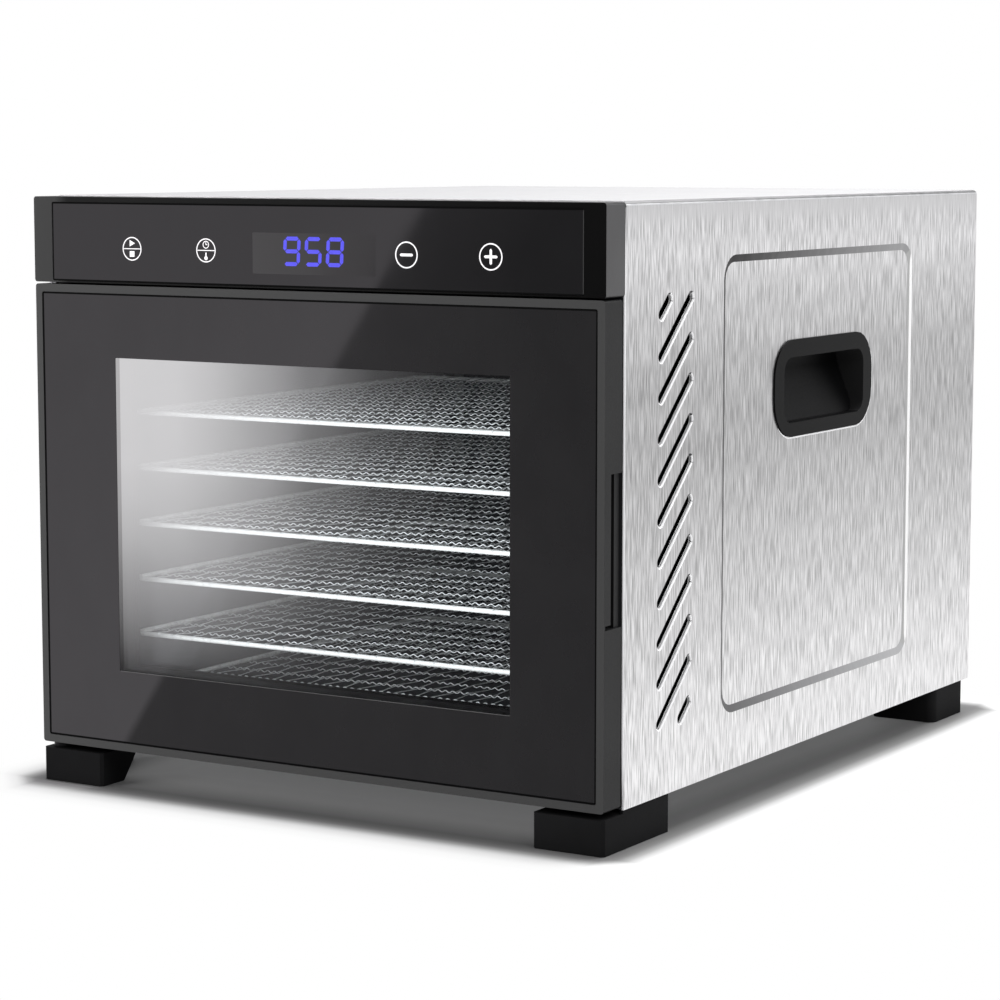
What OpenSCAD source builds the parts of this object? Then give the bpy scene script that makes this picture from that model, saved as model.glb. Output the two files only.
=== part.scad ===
// Countertop food dehydrator with a side-hinged glass door, six sliding trays and a rear fan.
// Millimetres. +Z is up, the door faces -Y, and the origin is under the middle of the feet.

/* [Overall size] */
// Width over the steel wrap
width = 345; // [335:1:360]
// Depth from the front of the door to the rear vent cover
depth = 450; // [440:1:470]
// Height from the floor to the top of the steel wrap
height = 311; // [308:1:320]

/* [Feet] */
// Height of the feet
foot_h = 19.2; // [18:0.1:20]
// Width of a foot
foot_w = 40; // [34:1:44]
// Length of the outer side of a front foot
front_foot_len = 66; // [60:1:70]
// Length of a rear foot
rear_foot_len = 44.5; // [40:0.5:50]

/* [Door and controls] */
// Depth of the door and the control fascia in front of the steel
front_t = 16.5; // [16:0.5:18]
// Height of the door's lower edge
door_z0 = 20.8; // [20.6:0.1:21.5]
// Height of the door's upper edge
door_z1 = 265; // [262:0.5:265.2]
// Height of the top of the control fascia
fascia_z1 = 310.5; // [307:0.5:310.5]
// Width of the clear window
window_w = 239; // [220:1:242]
// Height of the window's lower edge
window_z0 = 63.4; // [60:0.1:70]
// Height of the window's upper edge
window_z1 = 227.6; // [220:0.1:230]
// Distance from the door's left edge to the hinge axis
hinge_inset = 6; // [5.8:0.1:6.5]

/* [Trays] */
// Number of trays
tray_count = 6; // [1:1:6]
// Height of the lowest tray's rim
tray_z0 = 45; // [44:0.5:46]
// Distance from one tray to the next
tray_pitch = 30; // [28:0.5:31]
// Width of a tray
tray_w = 294; // [288:1:295]
// Depth of a tray
tray_d = 288; // [280:1:289]
// Thickness of a tray's rim wire
rim_wire = 2.6; // [2:0.1:3]

/* [Side vents and handle cups] */
// Distance from one vent slot to the next
vent_pitch = 20; // [19:0.1:20]
// Width of a vent slot
vent_w = 6.6; // [5:0.1:7.4]
// Length of a handle cup's rim
cup_len = 120; // [110:1:124]
// Height of a handle cup's rim
cup_h = 51; // [46:1:54]
// Depth of a handle cup at its top
cup_depth = 16; // [12:0.5:16]

/* [Fan] */
// Radius of the fan rotor
rotor_r = 68; // [60:1:70]
// Number of fan blades
blade_count = 7; // [5:1:9]
// Radius of the heating ring
heater_r = 86; // [84:1:92]

/* [Hidden] */

eps = 0.01;
// Clearance between parts that are pushed together
fit = 0.1;
half_w = width / 2;
front_y = -depth / 2;

// Feet
foot_inset = 0.5;
foot_drop = 1.6;
foot_screw_places = [[half_w - 9.5, front_y + 48], [half_w - 20, depth / 2 - 35]];
foot_screw_r = 2.1;

// Steel sheets
sheet = 1;
fold_r = 3;
wrap_y0 = front_y + 18.5;
wrap_y1 = depth / 2 - 7;
wrap_z0 = foot_h + 0.3;
bulkhead_y0 = wrap_y0 - 0.5;
bulkhead_t = 1.2;
rear_panel_t = 1.2;
pan_wall = 10;

// Front pieces
fascia_z0 = door_z1 + 1;
door_half = half_w - 0.7;
fascia_half = half_w - 0.3;
door_back_y = front_y + front_t;
glass_t = 3.2;
glass_edge = 4.3;
window_r = 0.5;
hinge_x = -door_half + hinge_inset;
hinge_y = front_y + 8;
pin_r = 2.5;
pin_fit = 0.05;
bore_depth = 9;
hinge_boss_r = 4.3;
bracket_t = 2;
door_screw_r = 1.5;
magnet_x0 = door_half - 13;
magnet_z0 = 212;
magnet_w = 8;
magnet_h = 24;
magnet_in = 2.4;
inner_panel_w = 311.4;
inner_panel_h = 235.4;
pocket_z0 = 109;
pocket_z1 = 183;
pocket_y0 = front_y + 6.2;
pocket_y1 = front_y + 11.7;
pocket_in = 14;

// Controls
display_x = 6;
display_z = 283.5;
display_w = 74;
display_h = 20.5;
key_xs = [-109, -61, 61, 109];
key_z = 284.2;
fascia_wall = 2.2;
fascia_glass_half = 160;
fascia_glass_z0 = fascia_z0 + 1;
fascia_glass_z1 = 307.5;
board_front_y = front_y + 10.5;
board_t = 1.6;

// Chamber
liner_half = 151.5;
liner_t = 0.8;
chamber_z0 = 30;
chamber_z1 = 258;
baffle_y = 112;
motor_wall_y = 149;
wall_t = 1;
tray_front_y = -180;
ledge_half = 142;
ledge_gap = 0.2;

// Air system
fan_z = 145;
shaft_r = 3;
rotor_y0 = 124;
rotor_depth = 15;
motor_plate_t = 2.2;
motor_y0 = motor_wall_y + wall_t + motor_plate_t;
motor_len = 38;
motor_r = 30;
bearing_r = 6;
motor_screw_xs = [-56, 56];
terminal_xs = [-12, 12];
sensor_x = 100;
sensor_z = 236;

// Power board and inlet
board_x = -105;
board_z = 90;
board_w = 84;
board_h = 64;
board_back_y = wrap_y1 - 11;
inlet_x = 124;
inlet_z = 50;
inlet_w = 27;
inlet_h = 20;

// Side panel
recess_y0 = front_y + 119;
recess_y1 = front_y + 350.5;
recess_z0 = 49;
recess_z1 = 282.5;
recess_r = 13;
recess_depth = 1.2;
recess_slope = 3.8;
cup_y = front_y + 238.2;
cup_z = 210.5;
cup_r = 20;
cup_flange = 0.9;
pocket_len = 98;
pocket_h = 34.5;
pocket_r = 8;
cup_low_share = 0.36;
vent_y0 = front_y + 54;
vent_y1 = front_y + 84;
vent_z0 = 54.8;
vent_z1 = 263;
vent_rise = 27.7;
vent_short_run = 8;
vent_short_rise = 7.3;
vent_lip = 0.9;
vent_lip_depth = 2.4;

// Points of a rectangle with round corners, centred on the origin
function round_rect(w, h, r, steps = 6) = [
    for (corner = [0 : 3])
        let (sx = (corner == 0 || corner == 3) ? 1 : -1, sy = corner < 2 ? 1 : -1)
        for (i = [0 : steps])
            let (a = corner * 90 + i * 90 / steps)
            [sx * (w / 2 - r) + r * cos(a), sy * (h / 2 - r) + r * sin(a)]
];

// Plate lying in X and Z, from y0 towards +Y
module xz_plate(x, z, w, h, r, y0, t) {
    translate([x, y0 + t, z]) rotate([90, 0, 0]) linear_extrude(t) polygon(round_rect(w, h, r));
}

// Plate lying in Y and Z, from x0 towards +X
module yz_plate(y, z, w, h, r, x0, t) {
    translate([x0, y, z]) rotate([90, 0, 90]) linear_extrude(t) polygon(round_rect(w, h, r));
}

// Block from its lowest to its highest corner
module block(lo, hi) {
    translate(lo) cube(hi - lo);
}

// Cylinder along Y from y0 to y1
module y_rod(x, z, r, y0, y1) {
    translate([x, y0, z]) rotate([-90, 0, 0]) cylinder(r = r, h = y1 - y0, $fn = 48);
}

// Cylinder along Z from z0 to z1
module z_rod(x, y, r, z0, z1) {
    translate([x, y, z0]) cylinder(r = r, h = z1 - z0, $fn = 48);
}

// Copies a piece of the right side onto the left side as well
module both_sides() {
    children();
    mirror([1, 0, 0]) children();
}

// ---------- casing ----------

// Recess of the side panel as a shallow tub whose walls slope by recess_slope
module recess_tub(x, grow) {
    y_mid = (recess_y0 + recess_y1) / 2;
    z_mid = (recess_z0 + recess_z1) / 2;
    w = recess_y1 - recess_y0;
    h = recess_z1 - recess_z0;
    in_w = w - 2 * recess_slope;
    in_h = h - 2 * recess_slope;
    hull() {
        yz_plate(y_mid, z_mid, w + grow, h + grow, recess_r + grow / 2, x - eps, eps);
        yz_plate(y_mid, z_mid, in_w + grow, in_h + grow, recess_r - recess_slope + grow / 2,
            x - recess_depth, eps);
    }
}

// Slanted vent slot from (y0, z0) to (y1, z1) with width w, through the right side
module slant_slot(y0, z0, y1, z1, w, x0, t) {
    run = y1 - y0;
    rise = z1 - z0;
    len = sqrt(run * run + rise * rise);
    translate([0, (y0 + y1) / 2, (z0 + z1) / 2])
        rotate([atan2(rise, run), 0, 0])
        yz_plate(0, 0, len + w, w, w / 2 - eps, x0, t);
}

// The whole column of vent slots, the first and the last cut short by the column's outline
module vent_column(w, x0, t) {
    for (i = [0 : 9]) {
        top = vent_z1 - i * vent_pitch;
        slant_slot(vent_y0, top - vent_rise, vent_y1, top, w, x0, t);
    }
    slant_slot(vent_y0, vent_z1 - vent_short_rise, vent_y0 + vent_short_run, vent_z1, w, x0, t);
    slant_slot(vent_y1 - vent_short_run, vent_z0, vent_y1, vent_z0 + vent_short_rise, w, x0, t);
}

// Solid inside the wrap's outline shrunk by inset, with its lower corners below the wrap
module wrap_core(inset, y0, y1) {
    low = wrap_z0 - 2 * fold_r;
    top = height - inset;
    xz_plate(0, (low + top) / 2, width - 2 * inset, top - low, fold_r - inset, y0, y1 - y0);
}

// One folded sheet: top and both sides, with pressed vents and recessed side panels
module outer_wrap() {
    color("gainsboro")
    difference() {
        union() {
            difference() {
                wrap_core(0, wrap_y0, wrap_y1);
                wrap_core(sheet, wrap_y0 - 1, wrap_y1 + 1);
                block([-half_w - 1, wrap_y0 - 1, 0], [half_w + 1, wrap_y1 + 1, wrap_z0]);
            }
            both_sides() {
                recess_tub(half_w - sheet + eps, 0.4);
                vent_column(vent_w + 2 * vent_lip, half_w - vent_lip_depth, vent_lip_depth - eps);
            }
        }
        both_sides() {
            recess_tub(half_w + eps, 0);
            vent_column(vent_w, half_w - 2 * vent_lip_depth, 3 * vent_lip_depth);
            yz_plate(cup_y, cup_z, cup_len - 6, cup_h - 6, cup_r - 3, half_w - 5, 10);
        }
    }
}

// Shallow pan with folded sides that carries the chamber and the feet
module base_pan() {
    pan_y0 = wrap_y0 + 2.1;
    pan_half = half_w - sheet - 0.2;
    color("silver")
    difference() {
        block([-pan_half, pan_y0, foot_h],
            [pan_half, wrap_y1 - rear_panel_t, foot_h + pan_wall]);
        block([sheet - pan_half, pan_y0 - 1, foot_h + sheet],
            [pan_half - sheet, wrap_y1, foot_h + pan_wall + 1]);
        for (x = [-120 : 20 : 120]) {
            pan_slots(x);
        }
    }
}

// Pair of cooling slots through the floor of the base pan
module pan_slots(x) {
    for (y = [150, 180]) {
        translate([x, y, foot_h - 1]) linear_extrude(4) polygon(round_rect(5, 22, 2.4));
    }
}

// Flat steel rear panel with the intake holes behind the vent cover and a cut-out for the inlet
module rear_panel() {
    panel_z0 = foot_h + 0.3;
    panel_z1 = height - sheet - 0.1;
    color("dimgray")
    difference() {
        xz_plate(0, (panel_z0 + panel_z1) / 2, width - 2 * sheet - 0.2, panel_z1 - panel_z0, fold_r,
            wrap_y1 - rear_panel_t, rear_panel_t);
        hole_rings(4, 14, 4, wrap_y1 - 3, wrap_y1 + 1);
        block([inlet_x - inlet_w / 2 - fit, wrap_y1 - 3, inlet_z - inlet_h / 2 - fit],
            [inlet_x + inlet_w / 2 + fit, wrap_y1 + 1, inlet_z + inlet_h / 2 + fit]);
    }
}

// Rings of round holes about the fan axis, pitch apart, for cutting air passages
module hole_rings(rings, pitch, r, y0, y1) {
    for (ring = [1 : rings]) {
        for (i = [0 : ring * 6 - 1]) {
            a = i * 60 / ring;
            y_rod(ring * pitch * cos(a), fan_z + ring * pitch * sin(a), r, y0, y1);
        }
    }
}

// Louvred round cover over the intake; it also keeps the unit off a wall
module rear_vent_cover() {
    cover_r = 76;
    rim = 6;
    face_t = 2.5;
    louvre_pitch = 11;
    louvre_h = 6;
    color("black")
    difference() {
        y_rod(0, fan_z, cover_r, wrap_y1, depth / 2);
        y_rod(0, fan_z, cover_r - rim, wrap_y1 - 1, depth / 2 - face_t);
        for (row = [-5 : 5]) {
            z = row * louvre_pitch;
            len = 2 * sqrt(pow(cover_r - rim - louvre_h / 2, 2) - z * z);
            xz_plate(0, fan_z + z, len, louvre_h, louvre_h / 2 - fit, depth / 2 - 4, 6);
        }
    }
}

// Steel bulkhead behind the door and the control fascia, open at the chamber mouth
module front_bulkhead() {
    bulkhead_z0 = foot_h + 1.3;
    bulkhead_z1 = height - sheet - 0.2;
    // slot for the wiring of the controls
    wire_slot = [[-80, 276], [-50, 292]];
    color("dimgray")
    difference() {
        xz_plate(0, (bulkhead_z0 + bulkhead_z1) / 2, width - 2 * sheet - 0.4,
            bulkhead_z1 - bulkhead_z0, fold_r, bulkhead_y0, bulkhead_t);
        block([-liner_half, bulkhead_y0 - 1, chamber_z0 + liner_t],
            [liner_half, bulkhead_y0 + 3, chamber_z1]);
        block([wire_slot[0].x, bulkhead_y0 - 1, wire_slot[0].y],
            [wire_slot[1].x, bulkhead_y0 + 3, wire_slot[1].y]);
    }
}

// Front foot: long outer side, short inner side whose end slopes back, and a low top under the door
module front_foot() {
    inner_x = half_w - foot_w;
    outer_x = half_w - foot_inset;
    end_y = front_y + front_foot_len;
    inner_y = front_y + 18.4;
    slope_y = front_y + 33;
    edge = 1.5;
    tail = 8;
    color("black")
    difference() {
        union() {
            linear_extrude(foot_h)
                polygon([[inner_x, front_y + edge], [inner_x + edge, front_y],
                    [outer_x - edge, front_y], [outer_x, front_y + edge],
                    [outer_x, end_y - edge], [outer_x - edge, end_y],
                    [outer_x - tail, end_y], [inner_x, inner_y]]);
            translate([inner_x, 0, 0]) rotate([90, 0, 90]) linear_extrude(foot_w - 12)
                polygon([[front_y + 12, 0], [inner_y, 0], [slope_y, foot_h],
                    [front_y + 12, foot_h]]);
        }
        block([inner_x - 1, front_y - 1, foot_h - foot_drop],
            [outer_x + 1, wrap_y0 + 0.2, foot_h + 1]);
        // seat of the lower hinge bracket
        block([-hinge_x - hinge_boss_r - 0.2, hinge_y, foot_h - foot_drop],
            [hinge_boss_r + 0.2 - hinge_x, wrap_y0 + 14.2, foot_h + 1]);
        z_rod(foot_screw_places[0].x, foot_screw_places[0].y, foot_screw_r, 4, foot_h + 1);
    }
}

// Rear foot: a block with round corners
module rear_foot() {
    color("black")
    difference() {
        translate([half_w - foot_inset - foot_w / 2, wrap_y1 - 5.5 - rear_foot_len / 2, 0])
            linear_extrude(foot_h) polygon(round_rect(foot_w, rear_foot_len, 5));
        z_rod(foot_screw_places[1].x, foot_screw_places[1].y, foot_screw_r, 4, foot_h + 1);
    }
}

module foot_front_right() {
    front_foot();
}

module foot_front_left() {
    mirror([1, 0, 0]) front_foot();
}

module foot_rear_right() {
    rear_foot();
}

module foot_rear_left() {
    mirror([1, 0, 0]) rear_foot();
}

// Screws that hold the feet to the base pan
module foot_screws() {
    color("silver")
    both_sides() {
        for (place = foot_screw_places) {
            z_rod(place.x, place.y, foot_screw_r, 5, foot_h);
            z_rod(place.x, place.y, 3.8, foot_h + sheet, foot_h + sheet + 2);
        }
    }
}

// Solid that fills the finger pocket: full depth at the top, shallow at the bottom
module cup_hollow(grow, floor_grow) {
    x_face = half_w - recess_depth + cup_flange;
    top_depth = cup_depth + floor_grow;
    low_depth = cup_depth * cup_low_share + floor_grow;
    h = pocket_h + 2 * grow;
    intersection() {
        yz_plate(cup_y, cup_z - 1, pocket_len + 2 * grow, h, pocket_r + grow, x_face - 30, 60);
        translate([0, cup_y + pocket_len, cup_z - 1]) rotate([90, 0, 0])
            linear_extrude(2 * pocket_len)
            polygon([[x_face + 1, -h], [x_face + 1, h], [x_face - top_depth, h],
                [x_face - top_depth, h / 2 - 8], [x_face - low_depth, -h / 2 + 1],
                [x_face - low_depth, -h]]);
    }
}

// Moulded cup with a flange outside the steel and a sloping back wall inside
module handle_cup() {
    wall = 1.6;
    x_seat = half_w - recess_depth;
    color("black")
    difference() {
        union() {
            yz_plate(cup_y, cup_z, cup_len, cup_h, cup_r, x_seat, cup_flange);
            intersection() {
                cup_hollow(wall, wall);
                block([x_seat - 40, cup_y - 70, cup_z - 40], [x_seat + eps, cup_y + 70, cup_z + 40]);
            }
        }
        cup_hollow(0, 0);
    }
}

module handle_cup_right() {
    handle_cup();
}

module handle_cup_left() {
    mirror([1, 0, 0]) handle_cup();
}

// ---------- controls ----------

// Plastic housing of the controls, open at the back, with a seat for the glass
module control_fascia() {
    pad_hole_r = 7;
    glass_w = 2 * fascia_glass_half + 0.4;
    glass_h = fascia_glass_z1 - fascia_glass_z0 + 0.4;
    glass_mid = (fascia_glass_z0 + fascia_glass_z1) / 2;
    mid_z = (fascia_z0 + fascia_z1) / 2;
    color([0.16, 0.16, 0.17])
    difference() {
        xz_plate(0, mid_z, 2 * fascia_half, fascia_z1 - fascia_z0, 1.5, front_y, front_t + 1.5);
        block([fascia_wall - fascia_half, front_y + 2 * fascia_wall, fascia_z0 + fascia_wall],
            [fascia_half - fascia_wall, front_y + 30, fascia_z1 - fascia_wall]);
        xz_plate(0, glass_mid, glass_w, glass_h, 1, front_y - 1, 3);
        block([display_x - display_w / 2 - 0.5, front_y - 1, display_z - display_h / 2 - 0.5],
            [display_x + display_w / 2 + 0.5, front_y + 10, display_z + display_h / 2 + 0.5]);
        for (x = key_xs) {
            y_rod(x, key_z, pad_hole_r, front_y - 1, front_y + 10);
        }
        z_rod(hinge_x, hinge_y, pin_r + 0.15, fascia_z0 - 1, fascia_z0 + 4);
    }
}

// Glossy panel that covers the display and the touch keys
module control_glass() {
    glass_h = fascia_glass_z1 - fascia_glass_z0;
    color([0.08, 0.08, 0.09])
    xz_plate(0, (fascia_glass_z0 + fascia_glass_z1) / 2, 2 * fascia_glass_half, glass_h, 0.8,
        front_y + 0.1, 1.9);
}

// Three-digit display block that fills its opening behind the glass
module display_module() {
    color([0.25, 0.25, 0.5])
    block([display_x - display_w / 2, front_y + 2.1, display_z - display_h / 2],
        [display_x + display_w / 2, board_front_y, display_z + display_h / 2]);
}

// Capacitive pads that reach from the board to the back of the glass
module touch_pads() {
    pad_r = 6.5;
    color("goldenrod")
    for (x = key_xs) {
        y_rod(x, key_z, pad_r, front_y + 2.1, board_front_y);
    }
}

// Circuit board with its controller chip, buzzer and fixing bosses
module control_board() {
    board_half = 150;
    back_y = board_front_y + board_t;
    color("darkgreen")
    difference() {
        union() {
            block([-board_half, board_front_y, 271], [board_half, back_y, 304]);
            block([-32, back_y, 276], [-18, back_y + 1.8, 290]);
            y_rod(85, 287, 5, back_y, back_y + 4.4);
            block([-20, back_y, 293], [60, back_y + 3, 301]);
        }
        for (x = [6 - board_half, board_half - 6]) {
            y_rod(x, 299, 1.6, board_front_y - 1, board_front_y + 3);
        }
    }
}

// ---------- chamber ----------

module chamber_floor() {
    color("silver")
    block([-liner_half - liner_t, bulkhead_y0 + bulkhead_t, chamber_z0],
        [liner_half + liner_t, motor_wall_y + wall_t, chamber_z0 + liner_t]);
}

module chamber_ceiling() {
    color("silver")
    block([-liner_half - liner_t, bulkhead_y0 + bulkhead_t, chamber_z1],
        [liner_half + liner_t, motor_wall_y + wall_t, chamber_z1 + liner_t]);
}

module liner_side() {
    color("silver")
    block([liner_half, bulkhead_y0 + bulkhead_t, chamber_z0 + liner_t],
        [liner_half + liner_t, motor_wall_y + wall_t, chamber_z1]);
}

module liner_right() {
    liner_side();
}

module liner_left() {
    mirror([1, 0, 0]) liner_side();
}

// Six L-shaped ledges that carry the tray rims on one side
module tray_ledges() {
    color("silver")
    for (i = [0 : tray_count - 1]) {
        top = tray_z0 + i * tray_pitch - rim_wire / 2 - ledge_gap;
        block([ledge_half, -192, top - 1.2], [liner_half, 104, top]);
        block([liner_half - 1.2, -192, top - 8], [liner_half, 104, top - 1.2]);
    }
}

module tray_ledges_right() {
    tray_ledges();
}

module tray_ledges_left() {
    mirror([1, 0, 0]) tray_ledges();
}

// Plain sheet across the whole chamber, with its front at y
module chamber_wall(y) {
    block([fit - liner_half, y, chamber_z0 + liner_t + fit],
        [liner_half - fit, y + wall_t, chamber_z1 - fit]);
}

// Perforated wall between the trays and the fan: ring of holes and two columns of air slots
module fan_baffle() {
    color("darkgray")
    difference() {
        chamber_wall(baffle_y);
        hole_rings(3, 17, 5, baffle_y - 1, baffle_y + 2);
        for (x = [-138, -122, 122, 138]) {
            for (row = [0 : 4]) {
                xz_plate(x, 65 + row * 40, 7, 30, 3.4, baffle_y - 1, 3);
            }
        }
        y_rod(sensor_x, sensor_z, 3.2, baffle_y - 1, baffle_y + 2);
    }
}

// Wall that closes the hot space and carries the motor
module motor_wall() {
    color("silver")
    difference() {
        chamber_wall(motor_wall_y);
        y_rod(0, fan_z, 8, motor_wall_y - 1, motor_wall_y + 2);
        for (x = terminal_xs) {
            y_rod(x, fan_z + heater_r, 4.5, motor_wall_y - 1, motor_wall_y + 2);
        }
        for (x = motor_screw_xs) {
            y_rod(x, fan_z, 2.2, motor_wall_y - 1, motor_wall_y + 2);
        }
    }
}

// ---------- air and heat ----------

// Tubular heating ring around the fan, with two terminals through the motor wall
module heating_element() {
    tube_r = 3.2;
    ring_y = 134;
    color("dimgray")
    union() {
        translate([0, ring_y, fan_z]) rotate([90, 0, 0])
            rotate_extrude($fn = 64) translate([heater_r, 0]) circle(tube_r, $fn = 24);
        for (x = terminal_xs) {
            y_rod(x, fan_z + heater_r, tube_r + 0.6, ring_y, motor_wall_y + 12);
        }
    }
}

// Shaded-pole style motor housing, bored for its two bearings
module fan_motor() {
    color("slategray")
    difference() {
        union() {
            y_rod(0, fan_z, motor_r, motor_y0, motor_y0 + motor_len);
            y_rod(0, fan_z, motor_r + 3, motor_y0 + 10, motor_y0 + 28);
        }
        y_rod(0, fan_z, bearing_r, motor_y0 - 1, motor_y0 + motor_len + 1);
    }
}

// Two bushes that carry the shaft
module motor_bearings() {
    color("peru")
    for (y = [motor_y0, motor_y0 + motor_len - 8]) {
        difference() {
            y_rod(0, fan_z, bearing_r, y, y + 8);
            y_rod(0, fan_z, shaft_r + pin_fit, y - 1, y + 9);
        }
    }
}

// Plate that screws the motor to the motor wall
module motor_bracket() {
    color("gray")
    difference() {
        xz_plate(0, fan_z, 130, 60, 6, motor_wall_y + wall_t, motor_plate_t);
        y_rod(0, fan_z, 8, motor_wall_y, motor_wall_y + 5);
        for (x = motor_screw_xs) {
            y_rod(x, fan_z, 2.2, motor_wall_y, motor_wall_y + 5);
        }
    }
}

// Screws that hold the motor bracket to the motor wall
module motor_screws() {
    color("silver")
    for (x = motor_screw_xs) {
        union() {
            y_rod(x, fan_z, 2.1, motor_wall_y - 2, motor_y0);
            y_rod(x, fan_z, 4, motor_y0, motor_y0 + 2.2);
        }
    }
}

// Steel shaft of the fan
module fan_shaft() {
    color("silver")
    y_rod(0, fan_z, shaft_r, rotor_y0 - 6, motor_y0 + motor_len + 2);
}

// Hub, back disc and straight blades of the centrifugal rotor
module fan_rotor() {
    color("lightgray")
    difference() {
        union() {
            y_rod(0, fan_z, 13, rotor_y0, rotor_y0 + rotor_depth);
            y_rod(0, fan_z, rotor_r - 6, rotor_y0 + rotor_depth - 1.2, rotor_y0 + rotor_depth);
            for (i = [0 : blade_count - 1]) {
                translate([0, 0, fan_z]) rotate([0, i * 360 / blade_count, 0])
                    block([11, rotor_y0, -0.6], [rotor_r, rotor_y0 + rotor_depth - 0.6, 0.6]);
            }
        }
        y_rod(0, fan_z, shaft_r, rotor_y0 - 1, rotor_y0 + rotor_depth + 1);
    }
}

// Nut that holds the rotor on the shaft
module fan_nut() {
    color("gold")
    difference() {
        translate([0, rotor_y0 - 4.2, fan_z]) rotate([-90, 0, 0]) cylinder(r = 6.4, h = 4.2, $fn = 6);
        y_rod(0, fan_z, shaft_r, rotor_y0 - 6, rotor_y0 + 1);
    }
}

// Probe in the air stream, with its mounting collar
module temperature_sensor() {
    color("silver")
    union() {
        y_rod(sensor_x, sensor_z, 2.6, baffle_y - 10, motor_wall_y);
        y_rod(sensor_x, sensor_z, 7, motor_wall_y - 3, motor_wall_y);
    }
}

// Bimetal cut-off on the cool side of the motor wall
module thermal_cutoff() {
    cutoff_x = -100;
    cutoff_z = 206;
    color("ivory")
    union() {
        y_rod(cutoff_x, cutoff_z, 9, motor_wall_y + wall_t, motor_wall_y + 8);
        block([cutoff_x - 8, motor_wall_y + 8, cutoff_z - 3],
            [cutoff_x + 8, motor_wall_y + 9.5, cutoff_z + 3]);
    }
}

// Power board with transformer, relay and capacitor
module power_board() {
    face_y = board_back_y - board_t;
    color("darkgreen")
    union() {
        block([board_x - board_w / 2, face_y, board_z - board_h / 2],
            [board_x + board_w / 2, board_back_y, board_z + board_h / 2]);
        // transformer and relay
        block([board_x - 34, face_y - 20.4, board_z - 24], [board_x - 8, face_y, board_z]);
        block([board_x + 4, face_y - 15.4, board_z - 22], [board_x + 24, face_y, board_z - 6]);
        // capacitors
        y_rod(board_x - 18, board_z + 16, 8, face_y - 24.4, face_y);
        y_rod(board_x + 20, board_z + 14, 5, face_y - 14.4, face_y);
    }
}

// Spacers between the power board and the rear panel
module board_standoffs() {
    corner = 6;
    color("gold")
    for (x = [board_x - board_w / 2 + corner, board_x + board_w / 2 - corner]) {
        for (z = [board_z - board_h / 2 + corner, board_z + board_h / 2 - corner]) {
            y_rod(x, z, 3, board_back_y, wrap_y1 - rear_panel_t);
        }
    }
}

// Appliance inlet with a flange, a socket recess and three contact pins
module power_inlet() {
    shell = 1.6;
    pin_pitch = 7;
    color("black")
    union() {
        difference() {
            union() {
                xz_plate(inlet_x, inlet_z, inlet_w + 11, inlet_h + 7, 3, wrap_y1, 2.4);
                xz_plate(inlet_x, inlet_z, inlet_w, inlet_h, 3, wrap_y1 - 18, 18.5);
            }
            xz_plate(inlet_x, inlet_z, inlet_w - 2 * shell, inlet_h - 2 * shell, 2, wrap_y1 - 15.5, 20);
        }
        for (i = [-1 : 1]) {
            x = inlet_x + i * pin_pitch;
            z = inlet_z + (i == 0 ? 2 : -2);
            block([x - 1, wrap_y1 - 16, z - 2], [x + 1, wrap_y1 - 4, z + 2]);
        }
    }
}

// Wiring run from the control board over the chamber and down to the power board
module internal_wiring() {
    wire_r = 2;
    wire_pitch = 6;
    turn_y = front_y + 26;
    low_z = 263;
    high_z = 281;
    back_y = 182;
    drop_z = board_z + 8;
    color("firebrick")
    for (i = [0 : 2]) {
        x = -76 + i * wire_pitch;
        union() {
            y_rod(x, high_z, wire_r, board_front_y + board_t + 0.2, turn_y);
            z_rod(x, turn_y, wire_r, low_z, high_z);
            y_rod(x, low_z, wire_r, turn_y, back_y);
            z_rod(x, back_y, wire_r, drop_z, low_z);
            y_rod(x, drop_z, wire_r, back_y, board_back_y - board_t - 0.2);
            for (bend = [[turn_y, high_z], [turn_y, low_z], [back_y, low_z], [back_y, drop_z]]) {
                translate([x, bend[0], bend[1]]) sphere(wire_r, $fn = 24);
            }
        }
    }
}

// Screws around the rear panel
module rear_panel_screws() {
    screw_x = half_w - 12;
    color("silver")
    both_sides() {
        for (z = [34, 165, 296]) {
            difference() {
                y_rod(screw_x, z, 3.6, wrap_y1, wrap_y1 + 2);
                block([screw_x - 3, wrap_y1 + 1.2, z - 0.5], [screw_x + 3, wrap_y1 + 3, z + 0.5]);
                block([screw_x - 0.5, wrap_y1 + 1.2, z - 3], [screw_x + 0.5, wrap_y1 + 3, z + 3]);
            }
        }
    }
}

// ---------- door ----------

// Fixed plate over the door that holds the upper pin
module hinge_bracket_upper() {
    z0 = fascia_z0 + fascia_wall;
    x0 = hinge_x - 4;
    x1 = hinge_x + 22;
    color("dimgray")
    difference() {
        union() {
            block([x0, hinge_y - 3.4, z0], [x1, bulkhead_y0, z0 + bracket_t]);
            block([x0, bulkhead_y0 - 1.5, z0], [x1, bulkhead_y0, z0 + 22]);
        }
        z_rod(hinge_x, hinge_y, pin_r, z0 - 1, z0 + 3);
    }
}

// Tongue under the base pan with a boss that the door stands over; it holds the lower pin
module hinge_bracket_lower() {
    z0 = foot_h - foot_drop;
    color("dimgray")
    difference() {
        union() {
            block([hinge_x - hinge_boss_r, hinge_y, z0], [hinge_x + hinge_boss_r, wrap_y0 + 14, foot_h]);
            z_rod(hinge_x, hinge_y, hinge_boss_r, z0, door_z0 - 0.2);
        }
        z_rod(hinge_x, hinge_y, pin_r, z0 - 1, door_z0);
    }
}

// Upper and lower pins, pressed into the brackets
module hinge_pins() {
    top = fascia_z0 + fascia_wall + bracket_t;
    color("lightgray")
    union() {
        z_rod(hinge_x, hinge_y, pin_r, door_z1 - bore_depth + 1, top);
        z_rod(hinge_x, hinge_y, pin_r, foot_h - foot_drop, door_z0 + bore_depth - 1);
    }
}

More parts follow.
